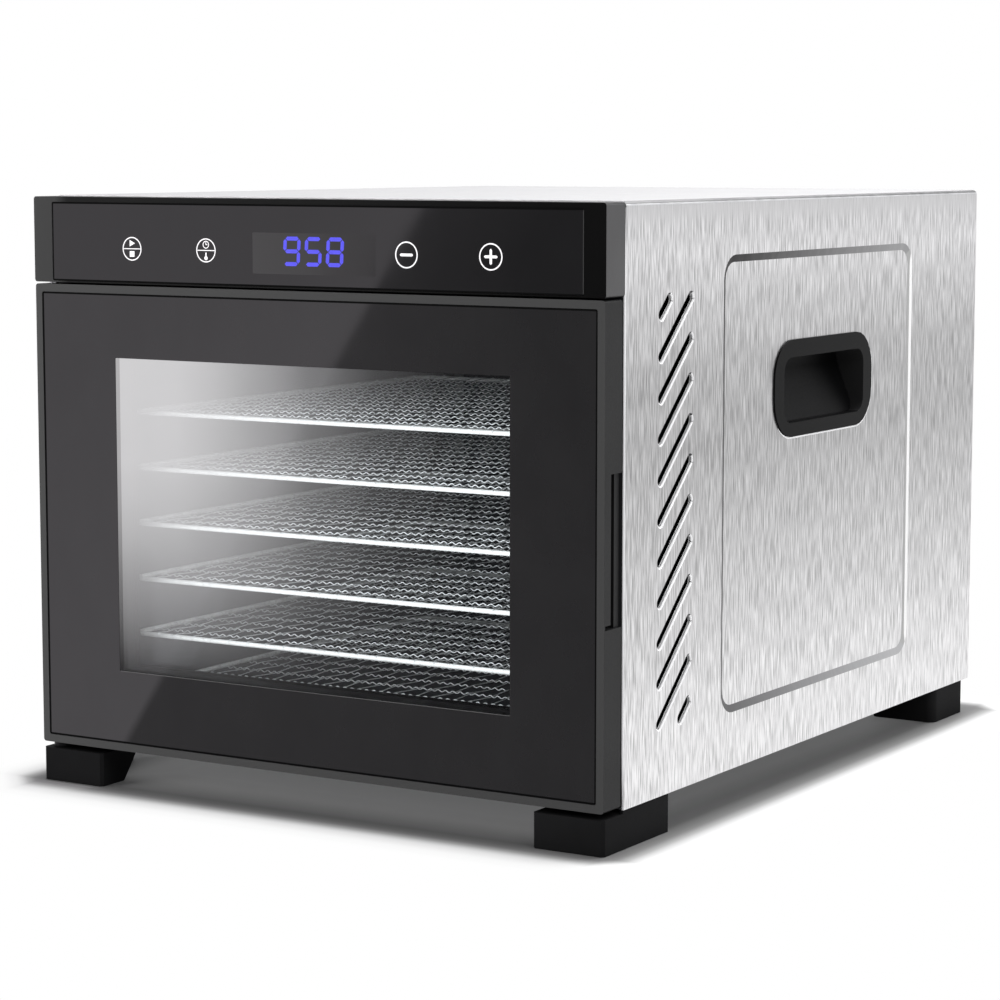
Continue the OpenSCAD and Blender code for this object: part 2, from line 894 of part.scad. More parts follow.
// Moulded frame of the door: seat for the glass, window, hinge bores and finger pocket
module door_frame() {
    web_y = front_y + 0.6 + glass_t;
    w = 2 * door_half;
    h = door_z1 - door_z0;
    mid_z = (door_z0 + door_z1) / 2;
    window_z = (window_z0 + window_z1) / 2;
    window_h = window_z1 - window_z0;
    tunnel = 2.2;
    color([0.16, 0.16, 0.17])
    difference() {
        xz_plate(0, mid_z, w, h, 1.6, front_y, front_t);
        // seat of the outer glass
        xz_plate(0, mid_z, w - 2 * glass_edge + 0.4, h - 2 * glass_edge + 0.4, 1.2, front_y - 1,
            1.6 + glass_t);
        // window
        xz_plate(0, window_z, window_w, window_h, window_r, front_y - 1, front_t + 2);
        // hollow between the outer walls, the window's tunnel and the screw bosses
        difference() {
            block([-door_half + 18, web_y + 3, door_z0 + 12],
                [door_half - 20, door_back_y + 1, door_z1 - 12]);
            xz_plate(0, window_z, window_w + 2 * tunnel, window_h + 2 * tunnel, window_r + tunnel,
                front_y, front_t + 4);
            door_screw_rods(5, front_y, door_back_y + 2);
        }
        door_screw_rods(door_screw_r + 0.05, door_back_y - 8, door_back_y + 2);
        // pocket of the magnet
        block([magnet_x0 - fit, door_back_y - magnet_in - fit, magnet_z0 - fit],
            [magnet_x0 + magnet_w + fit, door_back_y + 1, magnet_z0 + magnet_h + fit]);
        // seat of the inner panel
        xz_plate(0, mid_z, inner_panel_w + 0.6, inner_panel_h + 0.6, 2, door_back_y - 3, 4);
        // finger pocket: a deep groove, a lower rear wall and a notch under the grip
        block([door_half - pocket_in, pocket_y0, pocket_z0], [door_half + 1, pocket_y1, pocket_z1]);
        block([door_half - 1.5, pocket_y0, pocket_z0], [door_half + 1, door_back_y + 1, pocket_z1]);
        block([door_half - 6, front_y + 1, pocket_z0], [door_half + 1, pocket_y1, pocket_z0 + 2.2]);
        // hinge bores
        z_rod(hinge_x, hinge_y, pin_r + pin_fit, door_z1 - bore_depth, door_z1 + 1);
        z_rod(hinge_x, hinge_y, pin_r + pin_fit, door_z0 - 1, door_z0 + bore_depth);
        // rear edge on the hinge side, rounded about the pins
        difference() {
            block([-door_half - 1, hinge_y, door_z0 - 1], [hinge_x, door_back_y + 1, door_z1 + 1]);
            z_rod(hinge_x, hinge_y, front_t - 8, door_z0 - 2, door_z1 + 2);
        }
    }
}

// Outer pane over the whole door
module door_glass() {
    w = 2 * door_half - 2 * glass_edge;
    h = door_z1 - door_z0 - 2 * glass_edge;
    color([0.75, 0.8, 0.85, 0.4])
    xz_plate(0, (door_z0 + door_z1) / 2, w, h, 1, front_y + 0.3, glass_t);
}

// Opaque black print on the back of the outer pane, clear at the window
module door_mask() {
    w = 2 * door_half - 2 * glass_edge - 2;
    h = door_z1 - door_z0 - 2 * glass_edge - 2;
    window_h = window_z1 - window_z0;
    color("black")
    difference() {
        xz_plate(0, (door_z0 + door_z1) / 2, w, h, 1, front_y + 0.3 + glass_t, 0.2);
        xz_plate(0, (window_z0 + window_z1) / 2, window_w - 1, window_h - 1, window_r,
            front_y, 10);
    }
}

// Sheet that closes the back of the door and holds the inner pane
module door_inner_panel() {
    window_h = window_z1 - window_z0;
    window_z = (window_z0 + window_z1) / 2;
    color([0.2, 0.2, 0.21])
    difference() {
        xz_plate(0, (door_z0 + door_z1) / 2, inner_panel_w, inner_panel_h, 1.8, door_back_y - 1.1, 1);
        xz_plate(0, window_z, window_w - 2, window_h - 2, window_r, door_back_y - 3, 6);
        door_screw_rods(door_screw_r + 0.05, door_back_y - 3, door_back_y + 2);
    }
}

// Rods at the places of the screws that hold the inner panel
module door_screw_rods(r, y0, y1) {
    for (x = [-135, 135]) {
        for (z = [door_z0 + 24, (door_z0 + door_z1) / 2, door_z1 - 22]) {
            y_rod(x, z, r, y0, y1);
        }
    }
}

// Screws that hold the inner panel to the door frame
module door_panel_screws() {
    color("silver")
    union() {
        door_screw_rods(door_screw_r, door_back_y - 7, door_back_y - 0.1);
        door_screw_rods(3, door_back_y - 0.1, door_back_y + 0.8);
    }
}

// Inner pane, clamped between the frame and the inner panel
module door_inner_glass() {
    window_h = window_z1 - window_z0;
    color([0.75, 0.8, 0.85, 0.4])
    xz_plate(0, (window_z0 + window_z1) / 2, window_w + 12, window_h + 12, 2, door_back_y - 2.9, 1.8);
}

// Soft ring on the back of the door that meets the bulkhead around the chamber mouth
module door_seal() {
    ring = 4;
    seal_w = 2 * liner_half - 2;
    seal_h = chamber_z1 - chamber_z0 - 6;
    mid_z = (chamber_z0 + chamber_z1) / 2;
    color("dimgray")
    difference() {
        xz_plate(0, mid_z, seal_w + 2 * ring, seal_h + 2 * ring, 8, door_back_y - 0.1, 1.3);
        xz_plate(0, mid_z, seal_w, seal_h, 6, door_back_y - 1, 4);
    }
}

// Magnet in the free side of the door
module catch_magnet() {
    color("gray")
    block([magnet_x0, door_back_y - magnet_in, magnet_z0],
        [magnet_x0 + magnet_w, door_back_y + 0.4, magnet_z0 + magnet_h]);
}

// Steel strike on the bulkhead that the magnet pulls against
module strike_plate() {
    color("silver")
    block([magnet_x0 - 1, bulkhead_y0 - 0.8, magnet_z0 - 4],
        [magnet_x0 + magnet_w + 1, bulkhead_y0, magnet_z0 + magnet_h + 4]);
}

// ---------- trays ----------

// Tray: wire rim with round corners around a slotted sheet that stands for the woven mesh
module tray(index) {
    z = tray_z0 + (index - 1) * tray_pitch;
    corner_r = 9;
    y_mid = tray_front_y + tray_d / 2;
    // the sheet's slots, and the rails left between them and along the rim
    cells = 24;
    slot_w = 7.2;
    side_rail = 7;
    rail = 9;
    cell = (tray_w - 2 * side_rail) / cells;
    slot_len = (tray_d - 4 * rail) / 3;
    color("lightgray")
    translate([0, y_mid, z])
    union() {
        difference() {
            translate([0, 0, -rim_wire / 2])
                linear_extrude(rim_wire) polygon(round_rect(tray_w, tray_d, corner_r));
            translate([0, 0, -rim_wire])
                linear_extrude(2 * rim_wire)
                polygon(round_rect(tray_w - 2 * rim_wire, tray_d - 2 * rim_wire, corner_r - rim_wire));
        }
        difference() {
            translate([0, 0, -0.6]) linear_extrude(1.2)
                polygon(round_rect(tray_w - rim_wire, tray_d - rim_wire, corner_r - rim_wire / 2));
            for (i = [0 : cells - 1]) {
                x = (i + 0.5 - cells / 2) * cell;
                for (row = [-1 : 1]) {
                    y = row * (slot_len + rail);
                    block([x - slot_w / 2, y - slot_len / 2, -2], [x + slot_w / 2, y + slot_len / 2, 2]);
                }
            }
        }
    }
}

module tray_1() {
    tray(1);
}

module tray_2() {
    tray(2);
}

module tray_3() {
    tray(3);
}

module tray_4() {
    tray(4);
}

module tray_5() {
    tray(5);
}

module tray_6() {
    tray(6);
}

// ---------- what is drawn ----------

outer_wrap();
base_pan();
rear_panel();
rear_vent_cover();
front_bulkhead();
foot_front_left();
foot_front_right();
foot_rear_left();
foot_rear_right();
handle_cup_left();
handle_cup_right();
control_fascia();
control_glass();
display_module();
touch_pads();
control_board();
chamber_floor();
chamber_ceiling();
liner_left();
liner_right();
tray_ledges_left();
tray_ledges_right();
fan_baffle();
motor_wall();
heating_element();
fan_motor();
motor_bearings();
motor_bracket();
temperature_sensor();
thermal_cutoff();
power_board();
board_standoffs();
power_inlet();
internal_wiring();
rear_panel_screws();
foot_screws();
hinge_bracket_upper();
hinge_bracket_lower();
hinge_pins();
strike_plate();
door_frame();
door_glass();
door_mask();
door_inner_panel();
door_inner_glass();
door_seal();
catch_magnet();
door_panel_screws();
motor_screws();
fan_rotor();
fan_shaft();
fan_nut();
tray_1();
tray_2();
tray_3();
tray_4();
tray_5();
tray_6();
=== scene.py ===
"""Looks of the food dehydrator: materials, woven trays, glass, symbols, studio light and camera."""
import math

import bpy
import numpy as np
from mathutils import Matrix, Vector


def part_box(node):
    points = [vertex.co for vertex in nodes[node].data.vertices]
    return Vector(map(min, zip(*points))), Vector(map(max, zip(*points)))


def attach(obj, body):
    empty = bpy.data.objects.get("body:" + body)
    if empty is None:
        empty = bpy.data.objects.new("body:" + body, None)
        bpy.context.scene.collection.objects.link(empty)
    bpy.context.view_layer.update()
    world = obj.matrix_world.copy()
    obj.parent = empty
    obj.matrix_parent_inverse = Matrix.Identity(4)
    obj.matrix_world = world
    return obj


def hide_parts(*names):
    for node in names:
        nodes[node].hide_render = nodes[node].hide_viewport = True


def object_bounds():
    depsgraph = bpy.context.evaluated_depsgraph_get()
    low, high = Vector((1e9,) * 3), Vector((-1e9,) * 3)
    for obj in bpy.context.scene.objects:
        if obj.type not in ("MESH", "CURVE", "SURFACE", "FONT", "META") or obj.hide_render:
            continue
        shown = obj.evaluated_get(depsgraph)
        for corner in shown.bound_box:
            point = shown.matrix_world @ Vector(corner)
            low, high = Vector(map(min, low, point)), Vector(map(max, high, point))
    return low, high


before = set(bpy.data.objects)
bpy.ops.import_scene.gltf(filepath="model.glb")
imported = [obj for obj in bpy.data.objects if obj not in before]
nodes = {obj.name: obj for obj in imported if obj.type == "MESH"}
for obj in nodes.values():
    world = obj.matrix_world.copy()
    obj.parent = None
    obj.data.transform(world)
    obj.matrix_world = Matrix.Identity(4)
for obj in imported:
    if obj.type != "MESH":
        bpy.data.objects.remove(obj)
cad_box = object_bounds()
MM = 0.001


# ---------- camera ----------

CAMERA_PLACE = (0.85692, -1.43733, 0.33628)
CAMERA_AZIMUTH = 31.493
CAMERA_DOWN = 6.75
CAMERA_LENS = 107.48


def make_camera():
    """Camera to the front right of the unit, a little above it."""
    camera = bpy.data.objects.new("camera", bpy.data.cameras.new("camera"))
    bpy.context.scene.collection.objects.link(camera)
    camera.location = CAMERA_PLACE
    camera.rotation_euler = (math.radians(90 - CAMERA_DOWN), 0, math.radians(CAMERA_AZIMUTH))
    camera.data.lens = CAMERA_LENS
    camera.data.sensor_width = 36
    camera.data.clip_start = 0.05
    camera.data.clip_end = 60
    bpy.context.scene.camera = camera


# ---------- material helpers ----------

class Graph:
    """Short names for building one material's nodes."""

    def __init__(self, name):
        self.material = bpy.data.materials.new(name)
        self.material.use_nodes = True
        self.tree = self.material.node_tree
        self.tree.nodes.clear()
        self.output = self.tree.nodes.new("ShaderNodeOutputMaterial")

    def add(self, kind, **properties):
        """A new node with its properties set."""
        node = self.tree.nodes.new(kind)
        for key, value in properties.items():
            setattr(node, key, value)
        return node

    def link(self, source, target):
        self.tree.links.new(source, target)

    def feed(self, socket, value):
        """Links a socket to another one, or sets it to a number or a colour."""
        if isinstance(value, bpy.types.NodeSocket):
            self.link(value, socket)
        elif isinstance(value, tuple):
            socket.default_value = (*value, 1)
        else:
            socket.default_value = value

    def position(self):
        """Object position in metres."""
        return self.add("ShaderNodeTexCoord").outputs["Object"]

    def axes(self):
        """Object position in metres as separate X, Y and Z sockets."""
        split = self.add("ShaderNodeSeparateXYZ")
        self.link(self.position(), split.inputs["Vector"])
        return split.outputs

    def math(self, operation, *values):
        """Result of one sum; the values are sockets or numbers."""
        node = self.add("ShaderNodeMath", operation=operation)
        for socket, value in zip(node.inputs, values):
            self.feed(socket, value)
        return node.outputs["Value"]

    def noise(self, scale, detail=2.0, roughness=0.5):
        """Noise value with features about 1/scale metres across on each axis."""
        mapping = self.add("ShaderNodeMapping")
        mapping.inputs["Scale"].default_value = scale
        self.link(self.position(), mapping.inputs["Vector"])
        return self.noise_at(mapping.outputs["Vector"], detail, roughness)

    def noise_at(self, vector, detail, roughness=0.5):
        """Noise value at a place that has already been scaled."""
        noise = self.add("ShaderNodeTexNoise")
        noise.inputs["Scale"].default_value = 1.0
        noise.inputs["Detail"].default_value = detail
        noise.inputs["Roughness"].default_value = roughness
        self.link(vector, noise.inputs["Vector"])
        return noise.outputs["Fac"]

    def span(self, value, low, high, from_low=0.3, from_high=0.7):
        """Maps a value near the middle of 0..1 onto low..high."""
        ramp = self.add("ShaderNodeMapRange")
        ramp.inputs["From Min"].default_value = from_low
        ramp.inputs["From Max"].default_value = from_high
        ramp.inputs["To Min"].default_value = low
        ramp.inputs["To Max"].default_value = high
        self.link(value, ramp.inputs["Value"])
        return ramp.outputs["Result"]

    def blend_colour(self, value, dark, light):
        """Colour between dark and light, as the value goes from 0 to 1."""
        mix = self.add("ShaderNodeMix", data_type="RGBA")
        # the colour sockets share their names with others and are told apart by number
        mix.inputs[6].default_value = (*dark, 1)
        mix.inputs[7].default_value = (*light, 1)
        self.link(value, mix.inputs["Factor"])
        return mix.outputs[2]

    def ramp(self, value, stops):
        """Value read off straight lines between stops, which are (place in metres, result)."""
        low, high = stops[0][0], stops[-1][0]
        node = self.add("ShaderNodeValToRGB")
        points = node.color_ramp.elements
        points.remove(points[1])
        points[0].color = (*(stops[0][1],) * 3, 1)
        for place, result in stops[1:]:
            points.new((place - low) / (high - low)).color = (*(result,) * 3, 1)
        self.link(self.span(value, 0, 1, low, high), node.inputs["Fac"])
        return node.outputs["Color"]

    def mix_shaders(self, amount, first, second):
        """The first shader with the given amount of the second over it."""
        mix = self.add("ShaderNodeMixShader")
        self.link(amount, mix.inputs["Fac"])
        self.link(first, mix.inputs[1])
        self.link(second, mix.inputs[2])
        return mix.outputs["Shader"]

    def bump(self, value, height, strength):
        """Normal from a height value; height is in metres."""
        bump = self.add("ShaderNodeBump")
        bump.inputs["Strength"].default_value = strength
        bump.inputs["Distance"].default_value = height
        self.link(value, bump.inputs["Height"])
        return bump.outputs["Normal"]

    def principled(self, **sockets):
        """Principled shader with plain numbers set and links made, wired to the output."""
        shader = self.add("ShaderNodeBsdfPrincipled")
        for key, value in sockets.items():
            self.feed(shader.inputs[key.replace("_", " ")], value)
        self.link(shader.outputs["BSDF"], self.output.inputs["Surface"])
        return shader.outputs["BSDF"]

    def emission(self, strength, colour=(1, 1, 1)):
        """Light given off; the strength is a socket or a number."""
        light = self.add("ShaderNodeEmission")
        light.inputs["Color"].default_value = (*colour, 1)
        self.feed(light.inputs["Strength"], strength)
        return light.outputs["Emission"]


def brushed(name, dark, light, tint, roughness):
    """Steel with a grain that runs up the sides and across the top, calmer near the fold.

    Its tone is a painted shade by height: it goes down from the top and up again towards the floor.
    """
    g = Graph(name)
    at = g.axes()
    # height and width add up, so the grain runs on round the fold
    along = g.math("ADD", at["X"], at["Z"])
    layers = []
    for across_scale, along_scale in GRAIN_SCALES:
        vector = g.add("ShaderNodeCombineXYZ")
        g.link(g.math("MULTIPLY", at["Y"], across_scale), vector.inputs["X"])
        g.link(g.math("MULTIPLY", along, along_scale), vector.inputs["Y"])
        layers.append(g.noise_at(vector.outputs["Vector"], 2.5))
    streak = g.math("MULTIPLY_ADD", layers[0], 0.5, g.math("MULTIPLY", layers[1], 0.5))
    calm = g.span(at["Z"], 1.0, 0.3, *GRAIN_CALMS)
    streak = g.math("MULTIPLY_ADD", g.math("SUBTRACT", streak, 0.5), calm, 0.5)
    # painted shade: the steel's brightness set by height
    painted_shade = g.ramp(at["Z"], STEEL_SHADE_BY_HEIGHT)
    value = g.math("MULTIPLY", g.span(streak, dark, light, 0.42, 0.58), painted_shade)
    g.principled(
        Base_Color=g.blend_colour(g.math("MINIMUM", value, 0.97), (0, 0, 0), tint),
        Metallic=1.0,
        Roughness=g.span(streak, roughness + 0.06, roughness - 0.06, 0.3, 0.7),
        Normal=g.bump(streak, 0.03 * MM, 0.6),
    )
    return g.material


def plastic(name, dark, light, roughness, grain=1400, depth=0.04 * MM, specular=0.22):
    """Moulded plastic with a fine spark-eroded grain and slight cloudiness."""
    g = Graph(name)
    fine = g.noise((grain,) * 3, 2.0)
    cloud = g.noise((18, 18, 18), 3.0)
    g.principled(
        Base_Color=g.blend_colour(g.span(cloud, 0, 1, 0.35, 0.65), dark, light),
        Roughness=g.span(fine, roughness - 0.05, roughness + 0.07),
        Specular_IOR_Level=specular,
        Normal=g.bump(fine, depth, 0.5),
    )
    return g.material


def metal(name, dark, light, roughness, scale=120, metallic=1.0):
    """Plain rolled, cast or plated metal with faint mottling."""
    g = Graph(name)
    mottle = g.noise((scale,) * 3, 4.0, 0.6)
    g.principled(
        Base_Color=g.blend_colour(g.span(mottle, 0, 1, 0.35, 0.65), dark, light),
        Metallic=metallic,
        Roughness=g.span(mottle, roughness - 0.06, roughness + 0.08),
        Normal=g.bump(mottle, 0.02 * MM, 0.4),
    )
    return g.material


def black_glass(name, tint, roughness=0.025):
    """Polished pane with dark ink behind it; faint waviness keeps its reflections real."""
    g = Graph(name)
    wave = g.noise((9, 9, 9), 1.0)
    smudge = g.noise((40, 40, 25), 5.0, 0.6)
    g.principled(
        Base_Color=g.blend_colour(g.span(smudge, 0, 1), tint, tuple(c * 1.25 for c in tint)),
        Roughness=g.span(smudge, roughness, roughness + 0.02),
        IOR=1.5,
        Normal=g.bump(wave, 0.02 * MM, 0.25),
    )
    return g.material


def clear_glass(name, painted_sheen=False):
    """Thin clear pane that mirrors by angle; the sheen option adds a painted reflection, a pale glow over
    its upper left part.

    The painted reflection is emitted light, not a film, so that the trays stay sharp behind it.
    """
    g = Graph(name)
    clear = g.add("ShaderNodeBsdfTransparent")
    clear.inputs["Color"].default_value = (0.96, 0.975, 0.98, 1)
    mirror = g.add("ShaderNodeBsdfGlossy")
    mirror.inputs["Roughness"].default_value = 0.015
    mirror.inputs["Color"].default_value = (1, 1, 1, 1)
    fresnel = g.add("ShaderNodeFresnel")
    fresnel.inputs["IOR"].default_value = 1.22
    smudge = g.noise((40, 40, 25), 5.0, 0.6)
    g.link(g.bump(smudge, 0.004 * MM, 0.2), mirror.inputs["Normal"])
    surface = g.mix_shaders(fresnel.outputs["Fac"], clear.outputs["BSDF"], mirror.outputs["BSDF"])
    if painted_sheen:
        # painted reflection: a glow set by place across and up the window
        at = g.axes()
        across = g.ramp(at["X"], PAINTED_SHEEN_ACROSS)
        up = g.ramp(at["Z"], PAINTED_SHEEN_UP)
        cloud = g.span(g.noise((14, 14, 14), 3.0), 0.9, 1.06)
        amount = g.math("MULTIPLY", g.math("MULTIPLY", across, up), cloud)
        surface = g.mix_shaders(amount, surface, g.emission(PAINTED_SHEEN_LIGHT, (1.0, 0.985, 1.0)))
        g.material.cycles.emission_sampling = "NONE"
    g.link(surface, g.output.inputs["Surface"])
    return g.material


def glow(name, colour, strength):
    """Lit print or lit segment, a little uneven as real backlights are."""
    g = Graph(name)
    uneven = g.noise((300, 300, 300), 2.0)
    g.principled(
        Base_Color=tuple(c * 0.4 for c in colour),
        Roughness=0.4,
        Emission_Color=g.blend_colour(g.span(uneven, 0, 1), tuple(c * 0.85 for c in colour), colour),
        Emission_Strength=strength,
    )
    return g.material


# ---------- mesh helpers ----------

def piece(name, verts, faces, material, body, smooth=True):
    """A mesh object made from points and faces, riding on a body."""
    mesh = bpy.data.meshes.new(name)
    mesh.from_pydata([tuple(v) for v in verts], [], [tuple(f) for f in faces])
    mesh.update()
    mesh.materials.append(material)
    mesh.polygons.foreach_set("use_smooth", [smooth] * len(mesh.polygons))
    obj = bpy.data.objects.new(name, mesh)
    bpy.context.scene.collection.objects.link(obj)
    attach(obj, body)
    return obj


def tube(path, radius, sides, closed=False):
    """Points and faces of a round tube along a path of points; ends are capped."""
    path = np.asarray(path, float)
    count = len(path)
    if closed:
        ahead = np.roll(path, -1, axis=0) - np.roll(path, 1, axis=0)
    else:
        ahead = np.gradient(path, axis=0)
    ahead /= np.linalg.norm(ahead, axis=1)[:, None]
    up = np.where(np.abs(ahead[:, 2:3]) > 0.95, np.array([[0, 1.0, 0]]), np.array([[0, 0, 1.0]]))
    side = np.cross(ahead, up)
    side /= np.linalg.norm(side, axis=1)[:, None]
    over = np.cross(side, ahead)
    angle = np.arange(sides) * 2 * math.pi / sides
    ring = np.cos(angle)[None, :, None] * side[:, None, :] + np.sin(angle)[None, :, None] * over[:, None, :]
    verts = (path[:, None, :] + radius * ring).reshape(-1, 3)
    i = np.arange(count if closed else count - 1)[:, None]
    j = np.arange(sides)[None, :]
    a = i * sides + j
    b = i * sides + (j + 1) % sides
    c = ((i + 1) % count) * sides + (j + 1) % sides
    d = ((i + 1) % count) * sides + j
    faces = np.stack([a, b, c, d], -1).reshape(-1, 4).tolist()
    if not closed:
        faces.append(list(range(sides))[::-1])
        faces.append([(count - 1) * sides + k for k in range(sides)])
    return verts, faces


def join(parts):
    """Several (points, faces) pairs as one."""
    verts, faces, start = [], [], 0
    for v, f in parts:
        verts.append(np.asarray(v, float))
        faces.extend([[k + start for k in face] for face in f])
        start += len(v)
    return np.concatenate(verts), faces


def add_weld(obj):
    """Joins the points that a CAD mesh repeats along its edges."""
    obj.modifiers.new("weld", "WELD").merge_threshold = 0.002 * MM


def add_bevel(obj, width, angle):
    """Rounds edges sharper than angle degrees."""
    bevel = obj.modifiers.new("bevel", "BEVEL")
    bevel.width = width
    bevel.segments = 2
    bevel.limit_method = "ANGLE"
    bevel.angle_limit = math.radians(angle)
    return bevel


def add_weighted_normals(obj):
    """Shades flat faces flat and lets only the rounded edges between them turn."""
    normals = obj.modifiers.new("normals", "WEIGHTED_NORMAL")
    normals.keep_sharp = True
    normals.weight = 100


def soften(node_name, width, material):
    """Gives a CAD node its material and rounds its edges by width metres."""
    obj = nodes[node_name]
    obj.data.materials.clear()
    obj.data.materials.append(material)
    if "custom_normal" in obj.data.attributes:
        obj.data.attributes.remove(obj.data.attributes["custom_normal"])
    obj.data.polygons.foreach_set("use_smooth", [True] * len(obj.data.polygons))
    add_weld(obj)
    if width:
        add_bevel(obj, width, 32).miter_outer = "MITER_ARC"
    add_weighted_normals(obj)


# ---------- stage and light ----------

def area_light(name, place, target, size, power, size_y=None):
    """White panel of light at a place, facing a target; it is square unless size_y is given."""
    light = bpy.data.lights.new(name, "AREA")
    light.energy = power
    light.shape = "RECTANGLE"
    light.size = size
    light.size_y = size_y or size
    obj = bpy.data.objects.new(name, light)
    bpy.context.scene.collection.objects.link(obj)
    obj.location = place
    obj.rotation_euler = (Vector(target) - Vector(place)).to_track_quat("-Z", "Y").to_euler()
    return obj


def make_world():
    """White surroundings for the camera; what they light sees a dimmer white, brighter at the back."""
    world = bpy.data.worlds.new("studio")
    bpy.context.scene.world = world
    world.use_nodes = True
    tree = world.node_tree
    tree.nodes.clear()

    def background(colour, strength):
        node = tree.nodes.new("ShaderNodeBackground")
        node.inputs["Color"].default_value = (*colour, 1)
        node.inputs["Strength"].default_value = strength
        return node

    out = tree.nodes.new("ShaderNodeOutputWorld")
    seen = background((1, 1, 1), 1.0)
    soft = background(WORLD_TINT, WORLD_SOFT)
    lit = background(WORLD_TINT, WORLD_FRONT)
    coords = tree.nodes.new("ShaderNodeTexCoord")
    split = tree.nodes.new("ShaderNodeSeparateXYZ")
    level = tree.nodes.new("ShaderNodeMapRange")
    level.inputs["From Min"].default_value = 0.1
    level.inputs["From Max"].default_value = 0.9
    level.inputs["To Min"].default_value = WORLD_FRONT
    level.inputs["To Max"].default_value = WORLD_BACK
    tree.links.new(coords.outputs["Generated"], split.inputs["Vector"])
    tree.links.new(split.outputs["Y"], level.inputs["Value"])
    tree.links.new(level.outputs["Result"], lit.inputs["Strength"])
    path = tree.nodes.new("ShaderNodeLightPath")
    shader = lit.outputs["Background"]
    for kind, source in (("Is Diffuse Ray", soft), ("Is Camera Ray", seen)):
        mix = tree.nodes.new("ShaderNodeMixShader")
        tree.links.new(path.outputs[kind], mix.inputs["Fac"])
        tree.links.new(shader, mix.inputs[1])
        tree.links.new(source.outputs["Background"], mix.inputs[2])
        shader = mix.outputs["Shader"]
    tree.links.new(shader, out.inputs["Surface"])


def staged(name, verts, faces, material):
    """A piece of the studio, in world coordinates."""
    mesh = bpy.data.meshes.new(name)
    mesh.from_pydata([tuple(v) for v in verts], [], faces)
    mesh.materials.append(material)
    obj = bpy.data.objects.new(name, mesh)
    bpy.context.scene.collection.objects.link(obj)
    return obj


def make_floor():
    """Wide pale floor at the height of the feet, with a painted shadow under the unit and plain white away
    from it.
    """
    g = Graph("floor")
    at = g.axes()
    # distance from the outline of the unit, below zero inside it
    over_x = g.math("SUBTRACT", g.math("ABSOLUTE", at["X"]), cad_box[1][0])
    over_y = g.math("SUBTRACT", g.math("ABSOLUTE", at["Y"]), cad_box[1][1])
    out_x = g.math("MAXIMUM", over_x, 0)
    out_y = g.math("MAXIMUM", over_y, 0)
    inside = g.math("MINIMUM", g.math("MAXIMUM", over_x, over_y), 0)
    distance = g.math("ADD", g.math("ADD", out_x, out_y), inside)
    cloud = g.span(g.noise((0.6, 0.6, 0.6), 1.0), 0.97, 1.0)
    # painted shadow, darkest just inside the unit's outline
    painted_shade = g.math("MULTIPLY", g.ramp(distance, FLOOR_PAINTED_SHADOW), cloud)
    surface = g.principled(Base_Color=painted_shade, Roughness=0.6, Specular_IOR_Level=0.2)
    faded = g.mix_shaders(g.ramp(distance, FLOOR_FADE), surface, g.emission(1.0))
    g.link(faded, g.output.inputs["Surface"])
    half = FLOOR_WIDTH / 2
    corners = [(x * half, y * half, FLOOR_Z) for x, y in ((-1, -1), (1, -1), (1, 1), (-1, 1))]
    staged("floor", corners, [(0, 1, 2, 3)], g.material)


def make_dark_cards():
    """Dark cards in front of the door that only glossy surfaces see.

    Their edge between a lighter and a darker part lies in one plane with the mirrored camera, so it shows
    as one straight slanting line across the control glass and the door.
    """
    pane_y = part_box("door_glass")[0].y
    eye = Vector((CAMERA_PLACE[0], 2 * pane_y - CAMERA_PLACE[1], CAMERA_PLACE[2]))
    top, bottom = (Vector((x, pane_y, z)) for x, z in (SHEEN_TOP, SHEEN_BOTTOM))
    normal = (top - eye).cross(bottom - eye).normalized()
    if normal.x < 0:
        normal = -normal
    g = Graph("dark_card")
    dot = g.add("ShaderNodeVectorMath", operation="DOT_PRODUCT")
    dot.inputs[1].default_value = normal
    g.link(g.position(), dot.inputs[0])
    side = g.math("SUBTRACT", dot.outputs["Value"], normal.dot(eye))
    reach, soft = 0.30, 1.5 * MM
    strength = g.ramp(side, ((-reach, SHEEN_LIGHT * 0.86), (-soft, SHEEN_LIGHT), (soft, SHEEN_DARK),
                             (reach, SHEEN_DARK * 0.48)))
    g.link(g.emission(strength, (1.0, 0.945, 1.005)), g.output.inputs["Surface"])
    left, right, near, far, high = -7.0, 0.9, pane_y - 2 * MM, -6.0, 1.6
    low = FLOOR_Z + 0.1 * MM
    verts = [(left, far, low), (right, far, low), (right, near, low), (left, near, low),
             (left, far, high), (right, far, high)]
    obj = staged("dark_cards", verts, [(0, 1, 2, 3), (0, 4, 5, 1)], g.material)
    obj.visible_camera = False
    obj.visible_diffuse = False
    obj.visible_shadow = False
    obj.visible_transmission = False


WORLD_TINT = (0.985, 0.985, 1.0)
WORLD_FRONT = 0.62
WORLD_BACK = 0.90
WORLD_SOFT = 0.34
FLOOR_WIDTH = 24.0
FLOOR_Z = -0.2 * MM
# the floor's painted shadow, and how far it has faded to plain white, by distance from the unit's outline;
# the fade also adds a faint painted glow under the unit
FLOOR_PAINTED_SHADOW = ((-0.05, 0.7), (-0.02, 0.34), (-0.005, 0.13), (0.006, 0.17), (0.012, 0.34), (0.02, 0.8),
              (0.04, 0.93))
FLOOR_FADE = ((-0.06, 0.09), (-0.03, 0.08), (-0.016, 0.03), (0.002, 0.005), (0.008, 0.05), (0.012, 0.15),
              (0.02, 0.5), (0.03, 0.88), (0.042, 1.0))
# where the slanting line between the lighter and darker part crosses the door's front, as x and z
SHEEN_TOP = (0.0696, 0.3064)
SHEEN_BOTTOM = (-0.1161, 0.0263)
SHEEN_LIGHT = 1.17
SHEEN_DARK = 0.36
CHAMBER_LIGHT = 0.24

